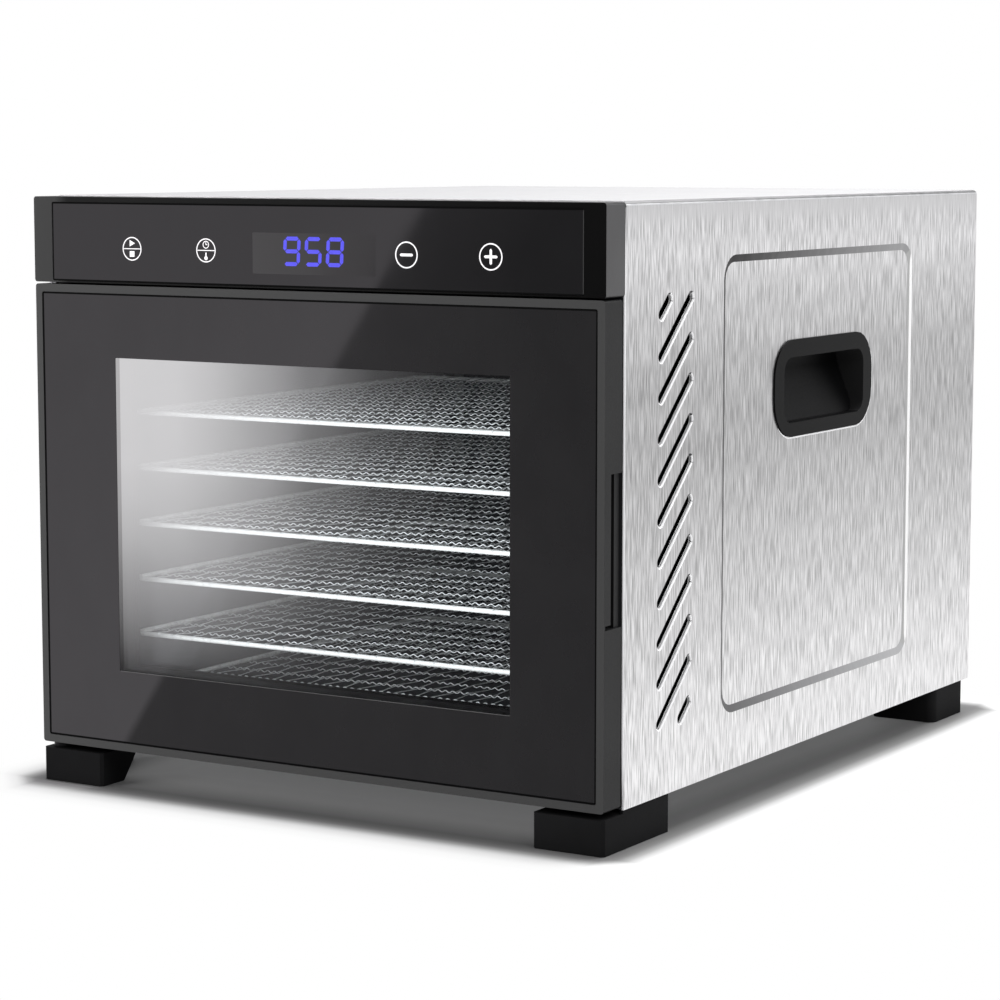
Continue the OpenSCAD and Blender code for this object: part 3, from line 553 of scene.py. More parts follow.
make_camera()
make_world()
make_floor()
make_dark_cards()
area_light("key", (1.9, -0.9, 1.9), (0.1, 0, 0.15), 1.6, 26)
area_light("top", (0.45, 0.95, 2.1), (0, -0.1, 0.1), 1.5, 68)
area_light("front_left", (-1.45, -1.75, 1.15), (0, 0, 0.15), 1.3, 24)


# ---------- materials ----------

# the side panels' sloping edges lie between these places along the unit and up it
RECESS_Y = (-0.106, 0.1255)
RECESS_Z = (0.049, 0.2825)
# steel grain as streaks per metre across it and along it, and the heights between which it calms down
GRAIN_SCALES = ((2100, 84), (1300, 52))
GRAIN_CALMS = (0.294, 0.304)
# painted shade of the steel by height, as (height in metres, share of its brightness)
STEEL_SHADE_BY_HEIGHT = ((0.0, 1.0), (0.035, 1.0), (0.1, 0.78), (0.19, 0.55), (0.23, 0.59), (0.285, 0.86),
              (0.311, 0.77))
# share of the painted reflection, a pale glow, on the window by distance across and by height
PAINTED_SHEEN_ACROSS = ((-0.12, 0.60), (-0.08, 0.54), (-0.058, 0.45), (-0.038, 0.33), (0.0, 0.125),
               (0.04, 0.037), (0.09, 0.0))
PAINTED_SHEEN_UP = ((0.06, 0.01), (0.07, 0.08), (0.085, 0.19), (0.11, 0.38), (0.14, 0.64), (0.175, 0.9),
           (0.228, 0.93))
PAINTED_SHEEN_LIGHT = 0.80


def black_with_painted_light(name, stops, roughness, specular):
    """Black surface whose tone changes across its width as painted light; stops are (x in metres, tone)."""
    g = Graph(name)
    fine = g.noise((1400, 1400, 1400), 2.0)
    g.principled(
        Base_Color=g.ramp(g.axes()["X"], stops),
        Roughness=g.span(fine, roughness, roughness + 0.03),
        Specular_IOR_Level=specular,
    )
    return g.material


def rear_slope_painted_highlight():
    """Rear edge of the side panel: a soft grey band of painted shade and a white line of painted highlight
    at its outer side.
    """
    g = Graph("rear_slope_painted_highlight")
    end = RECESS_Y[1]
    stops = ((end - 20 * MM, 0.42), (end - 2.2 * MM, 0.42), (end - 1.9 * MM, 0.97), (end, 0.97))
    g.principled(
        Base_Color=g.ramp(g.axes()["Y"], stops),
        Metallic=0.25,
        Roughness=g.span(g.noise((300, 300, 60)), 0.4, 0.5),
    )
    return g.material


def recess_edge_painted_shade():
    """Sloping edge of the side panel with painted shade: dark at the upper front, paler towards the back
    and the bottom.
    """
    g = Graph("recess_edge_painted_shade")
    at = g.axes()
    # painted shade by place along the panel and up it
    shade = g.math("ADD", g.span(at["Y"], 0.0, 0.57, *RECESS_Y), g.span(at["Z"], 0.18, 0.0, *RECESS_Z))
    g.principled(
        Base_Color=g.blend_colour(shade, (0.03, 0.029, 0.03), (0.68, 0.68, 0.69)),
        Metallic=1.0,
        Roughness=g.span(g.noise((300, 300, 60)), 0.5, 0.62),
    )
    return g.material


BRUSHED = brushed("brushed_steel", 0.53, 1.08, (1.0, 0.994, 1.003), 0.34)
SHEET = metal("sheet_steel", (0.26, 0.27, 0.28), (0.34, 0.35, 0.36), 0.42)
# painted shade: the chamber's lining is near-black teal, standing in for the shade inside it
CHAMBER_SHADED_LINING = plastic("chamber_dark_lining", (0.003, 0.0058, 0.0072), (0.005, 0.009, 0.011), 0.4, 500, specular=0.1)
# black of the door's inner panel, also used as painted shade on window edges and shadow lines
DARK_INSIDE_AND_SHADE = plastic("dark_inside", (0.003, 0.003, 0.0031), (0.0042, 0.0042, 0.0043), 0.6, specular=0.03)
# painted highlight: near white for vent walls, the lit side of vent lips, cup beads and front hems
PAINTED_HIGHLIGHT_EDGE = plastic("painted_highlight_steel", (0.86, 0.86, 0.87), (0.95, 0.95, 0.96), 0.3, 900, 0.01 * MM)
BLACK_STEEL = plastic("black_steel", (0.012, 0.012, 0.013), (0.018, 0.018, 0.02), 0.42, 900)
FEET_PLASTIC = plastic("feet_plastic", (0.009, 0.009, 0.0094), (0.013, 0.013, 0.0135), 0.6, specular=0.03)
CUP_PLASTIC = plastic("cup_plastic", (0.0025, 0.0025, 0.0027), (0.004, 0.004, 0.0043), 0.4, specular=0.05)
# painted highlight for the handle cups' rear end walls
CUP_END_PAINTED_LIGHT = plastic("cup_end", (0.012, 0.012, 0.0123), (0.016, 0.016, 0.0163), 0.35, specular=0.12)
FRONT_PLASTIC = plastic("front_plastic", (0.008, 0.008, 0.0083), (0.012, 0.012, 0.0125), 0.38,
                        specular=0.14)
FASCIA_SIDE_PAINTED_LIGHT = plastic("fascia_side", (0.065, 0.064, 0.066), (0.075, 0.074, 0.076), 0.4)
CONTROL_GLASS = black_glass("control_glass", (0.006, 0.006, 0.0064))
PANE_BLACK = black_glass("pane_black", (0.013, 0.0128, 0.0133))
PANE_PAINTED_SHEEN = clear_glass("pane_window", painted_sheen=True)
PANE_CLEAR = clear_glass("pane_clear")
BRASS = metal("brass", (0.6, 0.44, 0.18), (0.75, 0.58, 0.28), 0.3)
BRONZE = metal("bronze", (0.45, 0.28, 0.13), (0.58, 0.38, 0.2), 0.45)
BOARD = plastic("circuit_board", (0.01, 0.09, 0.035), (0.015, 0.15, 0.06), 0.3, 2500)
HEATER = metal("heater_sheath", (0.10, 0.09, 0.085), (0.2, 0.17, 0.15), 0.5)
MOTOR = metal("motor_iron", (0.16, 0.17, 0.19), (0.28, 0.29, 0.31), 0.45)
PLATED = metal("steel_parts", (0.6, 0.6, 0.61), (0.8, 0.8, 0.82), 0.26)
CERAMIC = plastic("ceramic", (0.6, 0.56, 0.48), (0.75, 0.72, 0.64), 0.6)
WIRE = plastic("wire_jacket", (0.3, 0.02, 0.015), (0.45, 0.04, 0.03), 0.4)
SILICONE = plastic("silicone", (0.02, 0.02, 0.021), (0.03, 0.03, 0.031), 0.65)
MAGNET = metal("magnet", (0.1, 0.1, 0.11), (0.18, 0.18, 0.19), 0.4)
ALUMINIUM = metal("fan_aluminium", (0.55, 0.56, 0.57), (0.75, 0.76, 0.77), 0.35)
TRAY = metal("tray_wire", (0.62, 0.61, 0.60), (0.74, 0.73, 0.72), 0.3, 400, 0.12)
TRAY_MESH = metal("tray_mesh", (0.62, 0.62, 0.625), (0.8, 0.8, 0.81), 0.4, 400, 0.45)
PRINT = glow("white_print", (1.0, 0.98, 1.0), 0.9)
DIGIT = glow("digit_light", (0.088, 0.078, 0.93), 0.62)
DISPLAY = black_glass("display_smoke", (0.012, 0.011, 0.02), 0.04)
# painted reflection on the fascia's front, lighter at the left
FASCIA_FRONT_PAINTED_SHEEN = black_with_painted_light("fascia_front", ((-0.172, 0.056), (-0.158, 0.052), (-0.15, 0.012), (0.0, 0.009),
                                             (0.14, 0.002), (0.172, 0.0016)), 0.4, 0.05)
FRAME_FRONT_PAINTED_SHEEN = black_with_painted_light("frame_front", ((-0.172, 0.072), (0.172, 0.058)), 0.4, 0.05)
# the display window's own paler tone, with a painted reflection fading to the right
DISPLAY_PATCH_WITH_SHEEN = black_with_painted_light("display_patch", ((-0.031, 0.030), (0.0, 0.022), (0.02, 0.010),
                                               (0.043, 0.006)), 0.05, 0.5)
# painted highlight for the control glass's right edge
EDGE_PAINTED_HIGHLIGHT = black_with_painted_light("edge_grey", ((-0.172, 0.07), (0.172, 0.05)), 0.4, 0.1)
RECESS_EDGE_PAINTED_SHADE = recess_edge_painted_shade()
REAR_SLOPE_PAINTED_HIGHLIGHT = rear_slope_painted_highlight()
# painted shade for the vent lips away from their highlight
VENT_LIP_PAINTED_SHADE = metal("vent_lip", (0.05, 0.05, 0.052), (0.09, 0.09, 0.092), 0.45)
# painted shade line and painted highlight band along the wrap's fold
FOLD_SHADE_LINE = metal("fold_line", (0.13, 0.13, 0.132), (0.17, 0.17, 0.173), 0.5)
FOLD_HIGHLIGHT_BAND = metal("fold_light", (0.62, 0.62, 0.63), (0.72, 0.72, 0.73), 0.4)

# each row is a material, the rounding of edges in millimetres, and the nodes that have them
CAD_LOOKS = (
    (BRUSHED, 0, "outer_wrap"),
    (SHEET, 0, "motor_wall"),
    (SHEET, 0.2, "base_pan", "motor_bracket"),
    (BLACK_STEEL, 0, "front_bulkhead"),
    (BLACK_STEEL, 0.2, "hinge_bracket_upper", "hinge_bracket_lower"),
    (BLACK_STEEL, 0.25, "rear_panel"),
    (FEET_PLASTIC, 0.3, "power_inlet"),
    (FEET_PLASTIC, 0.6, "rear_vent_cover"),
    (FEET_PLASTIC, 0.9, "foot_front_left", "foot_front_right", "foot_rear_left", "foot_rear_right"),
    (CUP_PLASTIC, 0.5, "handle_cup_left", "handle_cup_right"),
    (FRONT_PLASTIC, 0.5, "control_fascia", "door_frame"),
    (CONTROL_GLASS, 0.3, "control_glass"),
    (DISPLAY, 0, "display_module"),
    (BRASS, 0.2, "touch_pads", "board_standoffs"),
    (BRASS, 0.3, "fan_nut"),
    (BOARD, 0, "control_board"),
    (BOARD, 0.3, "power_board"),
    (CHAMBER_SHADED_LINING, 0, "chamber_floor", "chamber_ceiling", "liner_left", "liner_right", "fan_baffle"),
    (CHAMBER_SHADED_LINING, 0.2, "tray_ledges_left", "tray_ledges_right"),
    (HEATER, 0, "heating_element"),
    (MOTOR, 0.8, "fan_motor"),
    (BRONZE, 0.2, "motor_bearings"),
    (PLATED, 0.2, "foot_screws", "strike_plate", "door_panel_screws", "fan_shaft"),
    (PLATED, 0.25, "rear_panel_screws"),
    (PLATED, 0.3, "temperature_sensor", "hinge_pins", "motor_screws"),
    (CERAMIC, 0.3, "thermal_cutoff"),
    (WIRE, 0, "internal_wiring"),
    (DARK_INSIDE_AND_SHADE, 0.2, "door_inner_panel"),
    (SILICONE, 0.3, "door_seal"),
    (MAGNET, 0.3, "catch_magnet"),
    (ALUMINIUM, 0.2, "fan_rotor"),
    (PANE_CLEAR, 0, "door_inner_glass", "door_glass"),
    (PANE_BLACK, 0, "door_mask"),
)
for look, edge, *names in CAD_LOOKS:
    for node_name in names:
        soften(node_name, edge * MM, look)


def paint_faces(obj, material, test):
    """Gives the faces for which test(normal, centre) holds another material."""
    mesh = obj.data
    mesh.materials.append(material)
    index = len(mesh.materials) - 1
    for face in mesh.polygons:
        if test(face.normal, face.center):
            face.material_index = index


def on_window_rim(n, c):
    """True for the cut edges round the door's window, which get painted shade so that they do not catch the
    light.
    """
    lo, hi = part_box("door_inner_glass")
    spare = 4 * MM
    inside = lo.x + spare < c.x < hi.x - spare and lo.z + spare < c.z < hi.z - spare
    return inside and abs(n.y) < 0.5


def in_cup_end(n, c):
    """True for the rear end wall inside a handle cup and the corners next to it, which are painted lighter
    as a highlight.
    """
    lo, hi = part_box("handle_cup_right")
    return n.y < -0.3 and abs(c.x) < hi.x - 1 * MM and c.y > (lo.y + hi.y) / 2


def on_frame_front(n, c):
    """True for the foremost faces of the door's frame, which get a painted sheen."""
    return n.y < -0.9 and c.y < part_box("door_frame")[0].y + 0.3 * MM


# painted light: the fascia's side faces a lighter grey than its black front
paint_faces(nodes["control_fascia"], FASCIA_SIDE_PAINTED_LIGHT, lambda n, c: abs(n.x) > 0.9)
# painted reflection on the fascia's front faces
paint_faces(nodes["control_fascia"], FASCIA_FRONT_PAINTED_SHEEN, lambda n, c: n.y < -0.9)
# painted highlight on each cup's rear end wall
paint_faces(nodes["handle_cup_right"], CUP_END_PAINTED_LIGHT, in_cup_end)
paint_faces(nodes["handle_cup_left"], CUP_END_PAINTED_LIGHT, in_cup_end)
# painted shade on the frame's cut edges round the window
paint_faces(nodes["door_frame"], DARK_INSIDE_AND_SHADE, on_window_rim)
# painted reflection on the door frame's front, lighter at the left
paint_faces(nodes["door_frame"], FRAME_FRONT_PAINTED_SHEEN, on_frame_front)


def make_chamber_lamp():
    """Soft panel of light just behind the door's window that brings out the front of the trays."""
    lo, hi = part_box("door_inner_glass")
    place = (0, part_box("tray_1")[0].y - 14 * MM, (lo.z + hi.z) / 2)
    inward = (0, place[1] + 1, place[2])
    lamp = area_light("chamber_lamp", place, inward, hi.x - lo.x, CHAMBER_LIGHT, hi.z - lo.z)
    lamp.visible_camera = False


make_chamber_lamp()


# ---------- steel wrap ----------

VENT_SLOPE = (30.0, 27.7)   # run and rise of the vent slots, from front to back


def dress_wrap():
    """Keeps the wrap's own folds and gives the sloping edges of its side panels, the vent walls and the
    fold their painted shade and highlights.
    """
    wrap = nodes["outer_wrap"]
    wrap.modifiers.clear()
    add_weld(wrap)
    wrap.modifiers.new("split", "EDGE_SPLIT").split_angle = math.radians(16.5)
    add_weighted_normals(wrap)
    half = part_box("outer_wrap")[1].x
    reach = 3 * MM
    below_fold = 0.29
    on_fold = 0.306

    def on_slope(n, c):
        return 0.93 < abs(n.x) < 0.98 and c.z < below_fold

    def on_vent_wall(n, c):
        upright = abs(n.x) < 0.05 and n.y < -0.1 and n.z > -0.95
        near_side = half - reach < abs(c.x) < half - 0.2 * MM
        return upright and near_side and c.y < RECESS_Y[0] - 5 * MM and c.z < below_fold

    # painted shade on the side panels' sloping edges
    paint_faces(wrap, RECESS_EDGE_PAINTED_SHADE, lambda n, c: on_slope(n, c) and n.y >= -0.2)
    # painted highlight on their rear edges
    paint_faces(wrap, REAR_SLOPE_PAINTED_HIGHLIGHT, lambda n, c: on_slope(n, c) and n.y < -0.2)
    # painted highlight on the vent slots' walls
    paint_faces(wrap, PAINTED_HIGHLIGHT_EDGE, on_vent_wall)
    # painted shade and highlight on the fold's last facets over each side: a dark line, then a light band
    paint_faces(wrap, FOLD_SHADE_LINE, lambda n, c: c.z > on_fold and 0.2 < abs(n.x) < 0.8)
    paint_faces(wrap, FOLD_HIGHLIGHT_BAND, lambda n, c: c.z > on_fold and 0.8 <= abs(n.x) < 0.97)


def slot_outlines(x_face):
    """Outlines of the holes in the wrap's side at x_face, as ordered lists of (y, z)."""
    wrap = nodes["outer_wrap"].data
    per_metre = 100000   # corners are compared in hundredths of a millimetre

    def key(v):
        return tuple(round(c * per_metre) for c in wrap.vertices[v].co)

    flat, walls = set(), set()
    for face in wrap.polygons:
        corners = [key(v) for v in face.vertices]
        edges = [frozenset(pair) for pair in zip(corners, corners[1:] + corners[:1])]
        if abs(face.normal.x) > 0.999:
            flat.update(edges)
        elif abs(face.normal.x) < 0.05:
            walls.update(edges)
    level = round(x_face * per_metre)
    joined = {}
    for edge in flat & walls:
        a, b = tuple(edge)
        if a[0] == level and b[0] == level:
            joined.setdefault(a, []).append(b)
            joined.setdefault(b, []).append(a)
    loops = []
    while joined:
        here = next(iter(joined))
        loop = []
        while here in joined:
            loop.append((here[1] / per_metre, here[2] / per_metre))
            ways = [p for p in joined.pop(here) if p in joined]
            if not ways:
                break
            here = ways[0]
        loops.append(loop)
    return loops


def resampled(points, step, closed=False):
    """Points about step apart along the line through the given points."""
    points = np.array(points + points[:1] if closed else points)
    lengths = np.r_[0, np.cumsum(np.linalg.norm(np.diff(points, axis=0), axis=1))]
    count = int(lengths[-1] / step)
    if closed:
        at = np.arange(max(12, count)) / max(12, count) * lengths[-1]
    else:
        at = np.linspace(0, lengths[-1], count + 1)
    return np.stack([np.interp(at, lengths, points[:, k]) for k in (0, 1)], axis=1)


def make_vent_lips():
    """Rolled edge round each vent slot, flush with the wrap, with painted highlight on its rear side and
    ends and painted shade elsewhere.
    """
    radius, sides = 0.75 * MM, 8
    lo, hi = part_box("outer_wrap")
    slope = np.array(VENT_SLOPE) / math.hypot(*VENT_SLOPE)
    for side, x_face in (("right", hi.x), ("left", lo.x)):
        inward = -1 if x_face > 0 else 1
        parts, lit = [], []
        for loop in slot_outlines(x_face):
            spread = np.ptp(np.array(loop), axis=0)
            # few corners or a wide span mean another hole, such as the handle's
            if len(loop) < 8 or spread[0] > 50 * MM:
                continue
            outline = resampled(loop, 0.9 * MM, closed=True)
            path = np.c_[np.full(len(outline), x_face + inward * radius), outline]
            parts.append(tube(path, radius, sides, closed=True))
            # the slot's rear side and its ends get the painted highlight
            across = outline @ (slope[1], -slope[0])
            gets_painted_highlight = across - across.mean() > -0.15 * np.ptp(across)
            lit.extend(np.repeat(gets_painted_highlight, sides))
        verts, faces = join(parts)
        lips = piece(f"vent_lips_{side}", verts, faces, VENT_LIP_PAINTED_SHADE, "housing")
        lips.data.materials.append(PAINTED_HIGHLIGHT_EDGE)
        lips.data.polygons.foreach_set("material_index", np.array(lit, dtype=np.int32))


def tapered(path, radius, sides, ends):
    """Tube whose first and last few rings shrink to a point-like end."""
    verts, faces = tube(path, radius, sides)
    verts = verts.reshape(len(path), sides, 3)
    count = len(path)
    for k in range(ends):
        share = 0.15 + 0.85 * k / ends
        for at in (k, count - 1 - k):
            middle = np.asarray(path[at])
            verts[at] = middle + (verts[at] - middle) * share
    return verts.reshape(-1, 3), faces


def make_cup_beads():
    """Painted highlight: a bright bead round the lower and rear edge of each handle cup's flange."""
    radius = 0.6 * MM
    corner = 20 * MM + radius
    lo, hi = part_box("handle_cup_right")
    face_x = hi.x - 0.8 * MM
    front, back = lo.y - radius + corner, hi.y + radius - corner
    bottom, top = lo.z - radius + corner, hi.z + radius - corner
    path = []
    for y, z, start, end in ((front, bottom, 225, 270), (back, bottom, 270, 360), (back, top, 0, 50)):
        for angle in np.radians(np.linspace(start, end, 9)):
            path.append((y + corner * math.cos(angle), z + corner * math.sin(angle)))
    path = resampled(path, 2 * MM)
    for side, sign in (("right", 1), ("left", -1)):
        line = np.c_[np.full(len(path), sign * face_x), path]
        verts, faces = tapered(line, radius, 10, 6)
        piece(f"cup_bead_{side}", verts, faces, PAINTED_HIGHLIGHT_EDGE, "housing")


def make_front_hems():
    """Painted highlight: a bright hem along the front edge of each side of the wrap."""
    radius = 0.75 * MM
    lo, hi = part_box("outer_wrap")
    for side, x in (("right", hi.x - radius), ("left", lo.x + radius)):
        path = [(x, lo.y + 0.1 * MM, z) for z in np.linspace(lo.z + 1 * MM, hi.z - 4 * MM, 12)]
        verts, faces = tapered(path, radius, 10, 1)
        piece(f"front_hem_{side}", verts, faces, PAINTED_HIGHLIGHT_EDGE, "housing")


dress_wrap()
make_vent_lips()
make_cup_beads()
make_front_hems()


# ---------- door panes ----------

def round_outline(w, h, r, steps=8):
    """Points of a rectangle with round corners, centred on the origin."""
    points = []
    for corner in range(4):
        sx = 1 if corner in (0, 3) else -1
        sy = 1 if corner < 2 else -1
        for i in range(steps + 1):
            a = math.radians(corner * 90 + i * 90 / steps)
            points.append((sx * (w / 2 - r) + r * math.cos(a), sy * (h / 2 - r) + r * math.sin(a)))
    return points


def slab(outline, y0, y1, centre):
    """Closed plate in X and Z between y0 (front) and y1; its outline runs anticlockwise from the front."""
    n = len(outline)
    verts = [(centre[0] + x, y, centre[1] + z) for y in (y1, y0) for x, z in outline]
    faces = []
    for i in range(n):
        j = (i + 1) % n
        faces.append((i, j, n + j, n + i))
    faces.append(tuple(range(n))[::-1])
    faces.append(tuple(range(n, 2 * n)))
    return verts, faces


def framed_slab(outer, inner, y0, y1, centre_out, centre_in):
    """Plate in X and Z with a window, both outlines having the same number of points."""
    n = len(outer)
    verts = []
    for outline, centre in ((outer, centre_out), (inner, centre_in)):
        for y in (y0, y1):
            verts.extend((centre[0] + x, y, centre[1] + z) for x, z in outline)
    faces = []
    for i in range(n):
        j = (i + 1) % n
        faces.append((i, 2 * n + i, 2 * n + j, j))
        faces.append((n + i, n + j, 3 * n + j, 3 * n + i))
        faces.append((i, j, n + j, n + i))
        faces.append((2 * n + i, 3 * n + i, 3 * n + j, 2 * n + j))
    return verts, faces


def make_door_panes():
    """Outer pane as its printed border and its clear window, in place of the CAD pane and print."""
    lo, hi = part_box("door_glass")
    mask_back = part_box("door_mask")[1].y
    inner_lo, inner_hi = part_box("door_inner_glass")
    overlap = 6 * MM
    window_w = (inner_hi.x - inner_lo.x) - 2 * overlap
    window_h = (inner_hi.z - inner_lo.z) - 2 * overlap
    window_mid = (0.0, (inner_lo.z + inner_hi.z) / 2)
    outer_mid = (0.0, (lo.z + hi.z) / 2)
    outer = round_outline(hi.x - lo.x, hi.z - lo.z, 1 * MM)
    inner = round_outline(window_w, window_h, 0.5 * MM)
    verts, faces = framed_slab(outer, inner, lo.y, mask_back, outer_mid, window_mid)
    border = piece("door_pane_border", verts, faces, PANE_BLACK, "door", False)
    add_bevel(border, 0.25 * MM, 50)
    # painted shade on the border's cut edges round the window
    paint_faces(border, DARK_INSIDE_AND_SHADE, on_window_rim)
    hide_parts("door_mask", "door_glass")
    gap = 0.02 * MM
    clear = round_outline(window_w - 2 * gap, window_h - 2 * gap, 0.5 * MM)
    verts, faces = slab(clear, lo.y + gap, hi.y, window_mid)
    pane = piece("door_pane_window", verts, faces, PANE_PAINTED_SHEEN, "door", False)
    # painted shade on the window pane's cut edges
    paint_faces(pane, DARK_INSIDE_AND_SHADE, on_window_rim)
    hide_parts("door_glass")


make_door_panes()


# ---------- trays ----------

CRIMP = 4.7 * MM   # length of one wave of a crimped wire
CRIMP_HEIGHT = 0.56 * MM
CRIMP_TURN = 0.16   # rounding of each turn, as a share of half a wave
CRIMP_PEAK = 0.86   # height left at a rounded turn
HOOK_ANGLES = (0.2, 0.7, 1.2)   # where the wires' ends bend over the rim, in radians
ROW_PITCH = 20 * MM
WARP_PITCH = 11.75 * MM
WEFT_RADIUS = 0.30 * MM
WARP_RADIUS = 0.28 * MM
RIM_RADIUS = 1.3 * MM
WEAVE_RISE = 0.95 * MM


def crimped(length):
    """Path of a wire along x with an even zigzag in height, its turns a little rounded."""
    turns = int(round(length / CRIMP * 2))
    path = []
    for k in range(turns + 1):
        height = CRIMP_HEIGHT if k % 2 else -CRIMP_HEIGHT
        for shift in (-CRIMP_TURN, CRIMP_TURN):
            at = min(max(k + shift, 0), turns)
            path.append((at / turns * length - length / 2, 0.0, height * CRIMP_PEAK))
    return np.array(path[1:-1])


def warp(length, rows, phase):
    """Path of a wire along y that passes over and under the rows; both ends are hooked over the rim."""
    hook = RIM_RADIUS + WARP_RADIUS
    path = [(0.0, -length / 2 - hook * math.cos(a), hook * math.sin(a)) for a in HOOK_ANGLES]
    path.append((0.0, -length / 2 + 1.5 * MM, hook * 0.9))
    for k, y in enumerate(rows):
        side = 1 if (k + phase) % 2 else -1
        path.append((0.0, y - ROW_PITCH / 2 if k else y - 6 * MM, WEAVE_RISE))
        path.append((0.0, y, WEAVE_RISE + side * (WARP_RADIUS + WEFT_RADIUS)))
    front = np.array(path)
    back = np.array([(0.0, -y, z) for _, y, z in path[3::-1]])
    return np.concatenate([front, back])


def make_tray_mesh():
    """One tray around the origin: rim wire, crimped rows and the wires that hold them.

    Also gives the number of faces in the rim, which come first.
    """
    lo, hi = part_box("tray_1")
    half_w = (hi.x - lo.x) / 2 - RIM_RADIUS
    half_d = (hi.y - lo.y) / 2 - RIM_RADIUS
    corner = 9 * MM - RIM_RADIUS
    loop = [(x, y, 0.0) for x, y in round_outline(2 * half_w, 2 * half_d, corner)]
    parts = [tube(loop, RIM_RADIUS, 16, closed=True)]
    count = int(2 * half_d / ROW_PITCH)
    rows = [(k - (count - 1) / 2) * ROW_PITCH for k in range(count)]
    for y in rows:
        parts.append(tube(crimped(2 * half_w) + (0, y, WEAVE_RISE), WEFT_RADIUS, 6))
    columns = int((half_w - corner) / WARP_PITCH)
    for k in range(-columns, columns + 1):
        parts.append(tube(warp(2 * half_d, rows, k) + (k * WARP_PITCH, 0, 0), WARP_RADIUS, 6))
    verts, faces = join(parts)
    return verts, faces, len(parts[0][1])


def make_trays():
    """Six woven trays in place of the CAD ones."""
    verts, faces, rim_faces = make_tray_mesh()
    for index in range(1, 7):
        name, body = f"tray_{index}", f"tray_body_{index}"
        lo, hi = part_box(name)
        middle = np.array((lo + hi) / 2)
        woven = piece(f"{name}_woven", verts + middle, faces, TRAY, body)
        woven.data.materials.append(TRAY_MESH)
        slots = np.ones(len(faces), dtype=np.int32)
        slots[:rim_faces] = 0
        woven.data.polygons.foreach_set("material_index", slots)
        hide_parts(name)


make_trays()


# ---------- symbols and digits ----------

RAISED = 0.03 * MM   # how far print and edge lines stand in front of their glass
SUNK = 0.2 * MM   # how far edge lines and the display's patch reach into it
PRINT_THICKNESS = 0.04 * MM


def flat_ring(radius, line, steps=48):
    """Thin flat ring as quads in X and Z."""
    verts, faces = [], []
    for i in range(steps):
        a = 2 * math.pi * i / steps
        for r in (radius - line / 2, radius + line / 2):
            verts.append((r * math.cos(a), r * math.sin(a)))
    for i in range(steps):
        j = (i + 1) % steps
        faces.append((2 * i, 2 * i + 1, 2 * j + 1, 2 * j))
    return verts, faces


def flat_bar(x0, z0, x1, z1, line):
    """Flat bar with pointed round ends from one point to another."""
    d = Vector((x1 - x0, z1 - z0)).normalized()
    n = Vector((-d.y, d.x)) * line / 2
    e = d * line / 2
    points = [(x0 + n.x, z0 + n.y), (x0 - e.x, z0 - e.y), (x0 - n.x, z0 - n.y),
              (x1 - n.x, z1 - n.y), (x1 + e.x, z1 + e.y), (x1 + n.x, z1 + n.y)]
    return points, [tuple(range(6))]


def flat_shape(points):
    """Flat face with the given corners."""
    return points, [tuple(range(len(points)))]


def printed(name, parts, centre, material):
    """Flat shapes given in X and Z, as thin raised print on the control glass."""
    verts, faces = join([([(x, 0, z) for x, z in v], f) for v, f in parts])
    verts = verts + np.array((centre[0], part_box("control_glass")[0].y - RAISED, centre[1]))
    obj = piece(name, verts, faces, material, "housing", False)
    solid = obj.modifiers.new("thickness", "SOLIDIFY")
    solid.thickness = PRINT_THICKNESS
    solid.offset = 0


def disc(radius, steps=24):
    """Flat round face."""
    turns = [2 * math.pi * i / steps for i in range(steps)]
    return flat_shape([(radius * math.cos(a), radius * math.sin(a)) for a in turns])


def shifted(part, dx, dz):
    """A flat part moved in X and Z."""
    points, faces = part
    return [(x + dx, z + dz) for x, z in points], faces


def frame_lines(name, node_name, width, sides, material, body):
    """Thin flat lines just inside the edges of a pane; sides names some of left, right, top and bottom."""
    lo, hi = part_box(node_name)
    x0, x1, z0, z1 = lo.x, hi.x, lo.z, hi.z
    bars = {"left": (x0, x0 + width, z0, z1), "right": (x1 - width, x1, z0, z1),
            "bottom": (x0, x1, z0, z0 + width), "top": (x0, x1, z1 - width, z1)}
    parts = []
    for side in sides:
        u0, u1, w0, w1 = bars[side]
        outline = [(u0, w0), (u1, w0), (u1, w1), (u0, w1)]
        parts.append(slab(outline, lo.y - RAISED, lo.y + SUNK, (0, 0)))
    verts, faces = join(parts)
    piece(name, verts, faces, material, body, False)


def make_edge_lines():
    """Shadow line round the door pane and the control glass, with one painted highlight on the glass's
    right.
    """
    three_sides = ("left", "top", "bottom")
    frame_lines("door_pane_line", "door_glass", 0.8 * MM, (*three_sides, "right"), DARK_INSIDE_AND_SHADE, "door")
    frame_lines("control_line", "control_glass", 0.7 * MM, three_sides, DARK_INSIDE_AND_SHADE, "housing")
    frame_lines("control_edge", "control_glass", 0.4 * MM, ("right",), EDGE_PAINTED_HIGHLIGHT, "housing")


def make_display_patch():
    """Slightly paler window in the control glass over the display, with a painted reflection that grows
    darker towards the right.
    """
    lo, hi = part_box("display_module")
    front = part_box("control_glass")[0].y
    middle = ((lo.x + hi.x) / 2, (lo.z + hi.z) / 2)
    outline = round_outline(hi.x - lo.x, hi.z - lo.z, 0.5 * MM, 3)
    verts, faces = slab(outline, front - 0.01 * MM, front + SUNK, middle)
    piece("display_patch", verts, faces, DISPLAY_PATCH_WITH_SHEEN, "housing", False)


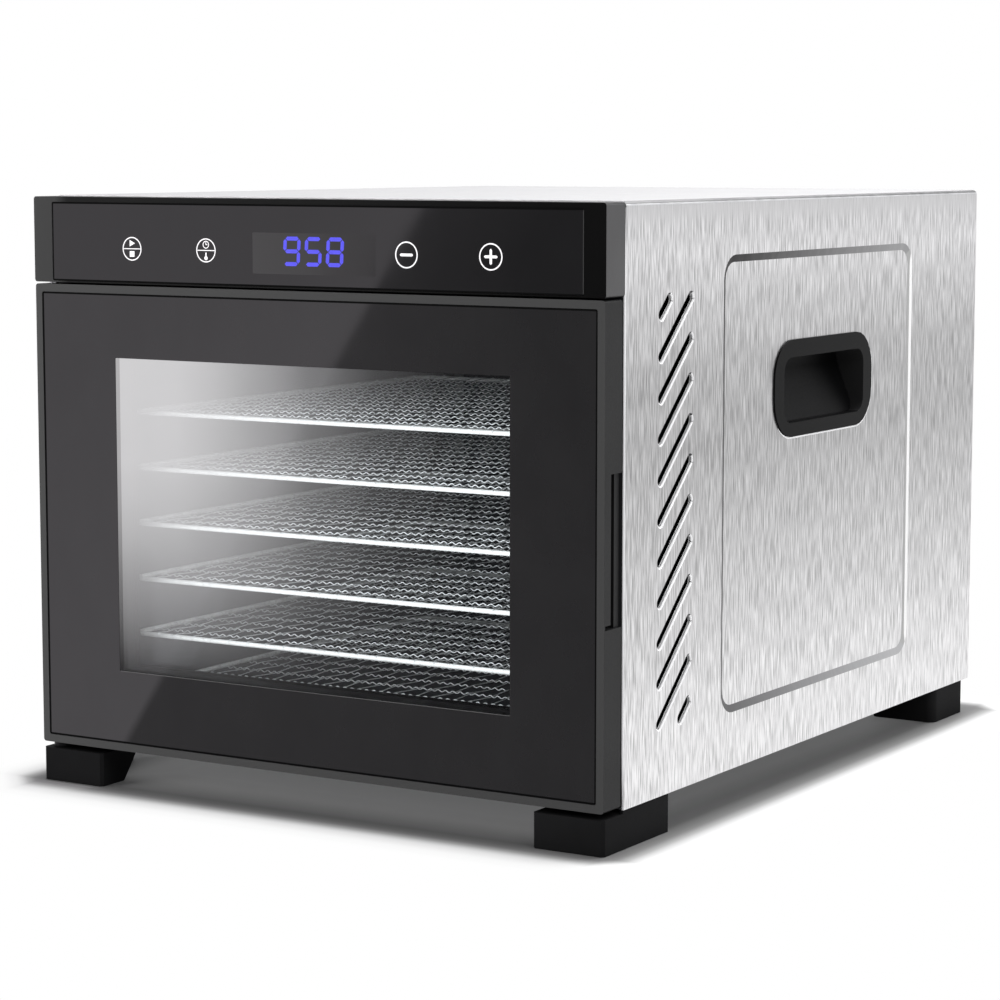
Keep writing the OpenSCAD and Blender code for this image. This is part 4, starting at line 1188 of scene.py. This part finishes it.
def make_controls():
    """Symbols over the touch pads, just in front of the control glass."""
    lo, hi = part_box("touch_pads")
    key_z = (lo.z + hi.z) / 2
    outer_x = hi.x - (hi.z - lo.z) / 2
    inner_x = 61 * MM
    ring = 5.8 * MM
    line = 0.55 * MM
    cross = 3.2 * MM
    stroke = 1.35 * MM
    halved_ring = [flat_ring(ring, line), flat_bar(-ring + line, 0, ring - line, 0, line * 0.8)]
    start_stop = halved_ring + [
        flat_shape([(-1.5 * MM, 1.2 * MM), (1.9 * MM, 2.85 * MM), (-1.5 * MM, 4.5 * MM)]),
        flat_shape([(-1.5 * MM, -4.1 * MM), (1.5 * MM, -4.1 * MM), (1.5 * MM, -1.2 * MM),
                    (-1.5 * MM, -1.2 * MM)]),
    ]
    time_heat = halved_ring + [
        shifted(flat_ring(1.75 * MM, 0.42 * MM, 28), 0, 2.9 * MM),
        flat_bar(0, 2.9 * MM, 0, 4.1 * MM, 0.4 * MM),
        flat_bar(0, 2.9 * MM, 0.9 * MM, 2.9 * MM, 0.4 * MM),
        shifted(disc(1.05 * MM), 0, -3.9 * MM),
        flat_bar(0, -3.5 * MM, 0, -1.3 * MM, 0.8 * MM),
    ]
    minus = [flat_ring(ring + 0.4 * MM, line + 0.1 * MM), flat_bar(-cross, 0, cross, 0, stroke)]
    plus = minus + [flat_bar(0, 0.5 * MM, 0, cross, stroke), flat_bar(0, -0.5 * MM, 0, -cross, stroke)]
    for name, parts, x in (("start_stop", start_stop, -outer_x + 1.6 * MM),
                           ("time_heat", time_heat, -inner_x + 0.9 * MM),
                           ("minus", minus, inner_x), ("plus", plus, outer_x)):
        printed(f"symbol_{name}", parts, (x, key_z), PRINT)


SEGMENTS = {
    "a": ((0, 2), (1, 2)), "b": ((1, 2), (1, 1)), "c": ((1, 1), (1, 0)), "d": ((0, 0), (1, 0)),
    "e": ((0, 1), (0, 0)), "f": ((0, 2), (0, 1)), "g": ((0, 1), (1, 1)),
}
DIGITS = {"9": "abcdfg", "5": "acdfg", "8": "abcdefg"}


def make_digits(text):
    """Seven-segment digits, leaning a little to the right, over the display module."""
    lo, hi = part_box("display_module")
    tall = 12.6 * MM
    wide = 8.4 * MM
    step = 13.0 * MM
    line = 2.0 * MM
    lean = 0.06
    left = -11.6 * MM
    base = (lo.z + hi.z) / 2 - tall / 2 + 1.2 * MM
    trim = line * 0.62
    parts = []
    for place, letter in enumerate(text):
        for segment in DIGITS[letter]:
            (u0, v0), (u1, v1) = SEGMENTS[segment]
            x0, z0 = u0 * wide, v0 * tall / 2
            x1, z1 = u1 * wide, v1 * tall / 2
            way = Vector((x1 - x0, z1 - z0)).normalized() * trim
            points, faces = flat_bar(x0 + way.x, z0 + way.y, x1 - way.x, z1 - way.y, line)
            points = [(x + z * lean + left + place * step, z + base) for x, z in points]
            parts.append((points, faces))
    printed("display_digits", parts, (0, 0), DIGIT)


make_edge_lines()
make_display_patch()
make_controls()
make_digits("958")

bpy.context.scene.view_settings.view_transform = "Standard"
bpy.context.scene.view_settings.look = "None"
